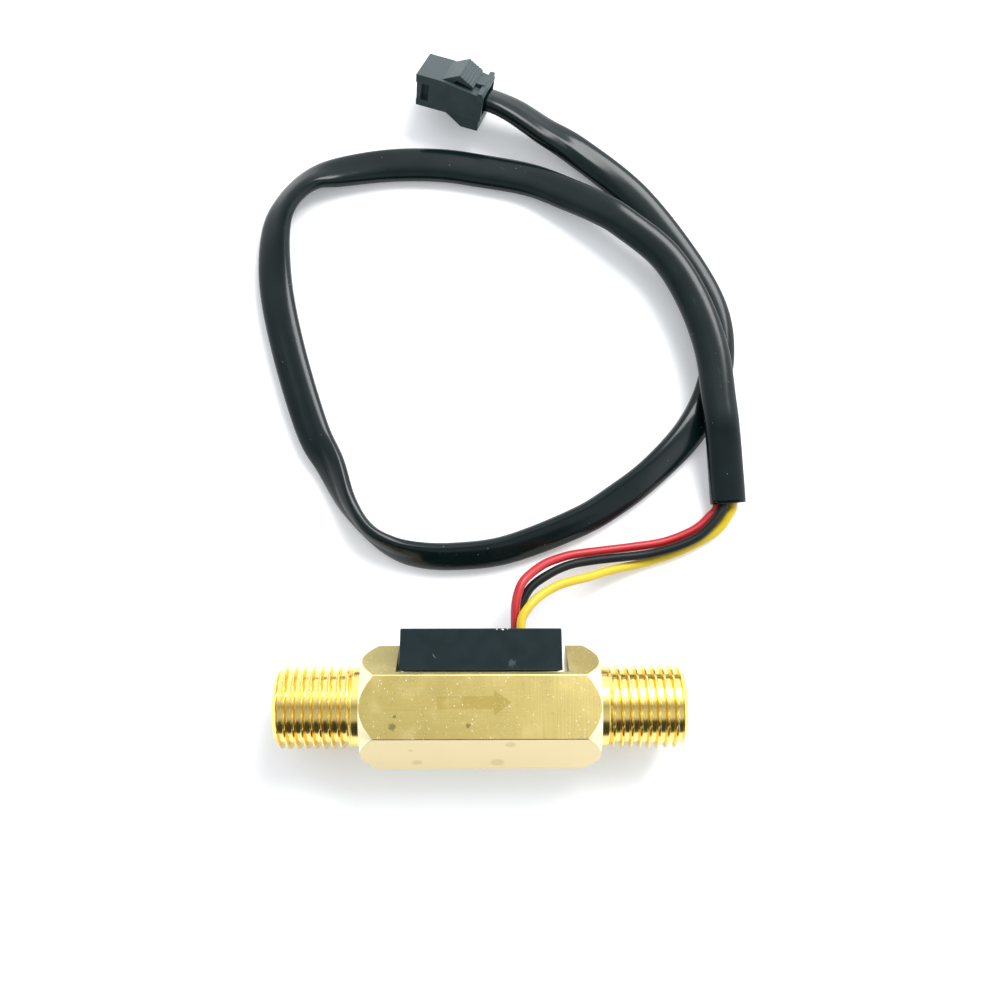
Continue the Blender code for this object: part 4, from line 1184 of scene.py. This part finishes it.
# %% Vinyl
def vinyl(name, dark, light, roughness, depth=0.02, **constants):
    """Extruded vinyl with marks along it, from the piece's own UV map."""
    finish = Finish(name, **constants)
    way = finish.add("ShaderNodeUVMap", {"uv_map": "along"}, {})
    streaks = finish.noise(finish.scaled(way, 60, 1300, 1), 1.0, 3.0)
    waves = finish.noise(finish.scaled(way, 180, 180, 1), 1.0, 3.0)
    scuffs = finish.step(finish.noise(finish.scaled(way, 300, 2500, 1), 1.0, 4.0), 0.62, 0.75)
    finish.base = finish.mix(finish.step(waves, 0.3, 0.7), dark, light)
    finish.set("Base Color", finish.base)
    finish.set("Roughness", roughness + (streaks - 0.5) * 0.1 + scuffs * 0.15)
    finish.relief(waves + streaks * 0.3, depth * MM)
    return finish


red = vinyl("red_insulation", rgb(0.40, 0.0055, 0.0095), rgb(0.445, 0.0075, 0.013), 0.38)
dark, light = rgb(0.004, 0.007, 0.0065), rgb(0.006, 0.009, 0.009)
black = vinyl("black_insulation", dark, light, 0.42, specular_ior_level=0.2)
yellow = vinyl("yellow_insulation", rgb(0.57, 0.415, 0.006), rgb(0.62, 0.455, 0.008), 0.36)
dark, light = rgb(0.002, 0.0066, 0.007), rgb(0.0035, 0.0095, 0.010)
skin = vinyl("sleeve_vinyl", dark, light, 0.19, 0.012, specular_ior_level=0.27)
dust = skin.specks(skin.place(), 0.8, 0.1, 0.42)
skin.set("Base Color", skin.mix(dust * 0.35, skin.base, rgb(0.4, 0.42, 0.42)))
dress(skin, sleeve)
for wire, finish in zip(wires.values(), (red, black, yellow)):
    dress(finish, wire)
print("sleeve finish nodes:", len(skin.tree.nodes))

# %% [markdown]
# The floor is a plain white sheet, so brightly lit that it has lost all its grain. It also has a
# faint glow of its own, though it is no lamp: painted light that keeps the shadows on it light.

# %% Floor
FLOOR_SIZE = 4
# Painted light: the floor glows though it is no lamp, and this lifts its shadows.
SHEET_GLOW = 0.18

bpy.ops.mesh.primitive_plane_add(size=FLOOR_SIZE, location=(0, 0, 0))
floor = bpy.context.object
floor.name = "floor"
paper = Finish("white_sheet", roughness=0.9)
paper.constant(emission_color=(0.96, 0.985, 1.0, 1), emission_strength=SHEET_GLOW)
tone = paper.noise(paper.place(), 0.02, 2.0)
paper.set("Base Color", paper.mix(tone, rgb(0.86, 0.86, 0.86), rgb(0.88, 0.88, 0.88)))
dress(paper, floor)
print("floor, metres on a side:", FLOOR_SIZE)

# %% [markdown]
# Polished brass shows what stands round it, so the light is built for its reflections first.
# The room is bright on the far side, middling overhead and dark low on the near side, which
# gives the threads their white, golden and black bands. Lamps alone could not do this, because
# between them the brass would reflect nothing.

# %% The room round the sensor
# Brightness by direction, from the near side at 0 through overhead at 0.5 to the far side at 1.
NEAR_TO_FAR = (
    (0.0, 0.04),
    (0.14, 0.05),
    (0.2, 0.75),
    (0.4, 0.75),
    (0.5, 0.42),
    (0.58, 0.8),
    (0.7, 1.4),
    (1.0, 1.5),
)
CEILING = (0.88, 0.97)  # how steeply up a direction points where the dimmer middle begins
CEILING_LOSS = 0.15
RIGHT_GAIN = 0.5
SIDES_GAIN = 1.4
COOL = (0.95, 0.985, 1.03, 1)

scene.view_settings.view_transform = "Standard"
world = bpy.data.worlds.new("room")
world.use_nodes = True
room = Network(world.node_tree)
direction = room.add("ShaderNodeTexCoord", {}, {}, "Generated")
to_right, to_far, to_up = room.split(direction)
glow = room.add("ShaderNodeValToRGB", {"stops": NEAR_TO_FAR}, {0: to_far * 0.5 + 0.5})
background = world.node_tree.nodes["Background"]
side = to_right * to_right
dimmed = 1 - room.step(to_up, *CEILING) * CEILING_LOSS
strength = glow * dimmed * (1 + to_right * RIGHT_GAIN) + side * side * SIDES_GAIN
room.feed(background.inputs["Color"], COOL)
room.feed(background.inputs["Strength"], strength)
scene.world = world
print("room nodes:", len(room.tree.nodes))

# %% [markdown]
# One large soft window, on the far side and to the right, throws the soft shadows. A sun lamp
# would make them too sharp. Its power follows from its size, so that a larger window is no dimmer.

# %% Window
WINDOW_PLACE = Vector((0.27, 0.46, 0.55))
WINDOW_TARGET = Vector((0, 0.03, 0))
WINDOW_SIZE = (0.37, 0.31)
WINDOW_GLOW = 13.0

pane = bpy.data.lights.new("window", "AREA")
pane.shape = "RECTANGLE"
pane.size, pane.size_y = WINDOW_SIZE
pane.energy = WINDOW_GLOW * math.pi * WINDOW_SIZE[0] * WINDOW_SIZE[1]
window = placed("window", pane)
window.location = WINDOW_PLACE
window.rotation_euler = (WINDOW_TARGET - WINDOW_PLACE).to_track_quat("-Z", "Y").to_euler()
print("window power:", round(pane.energy, 2))
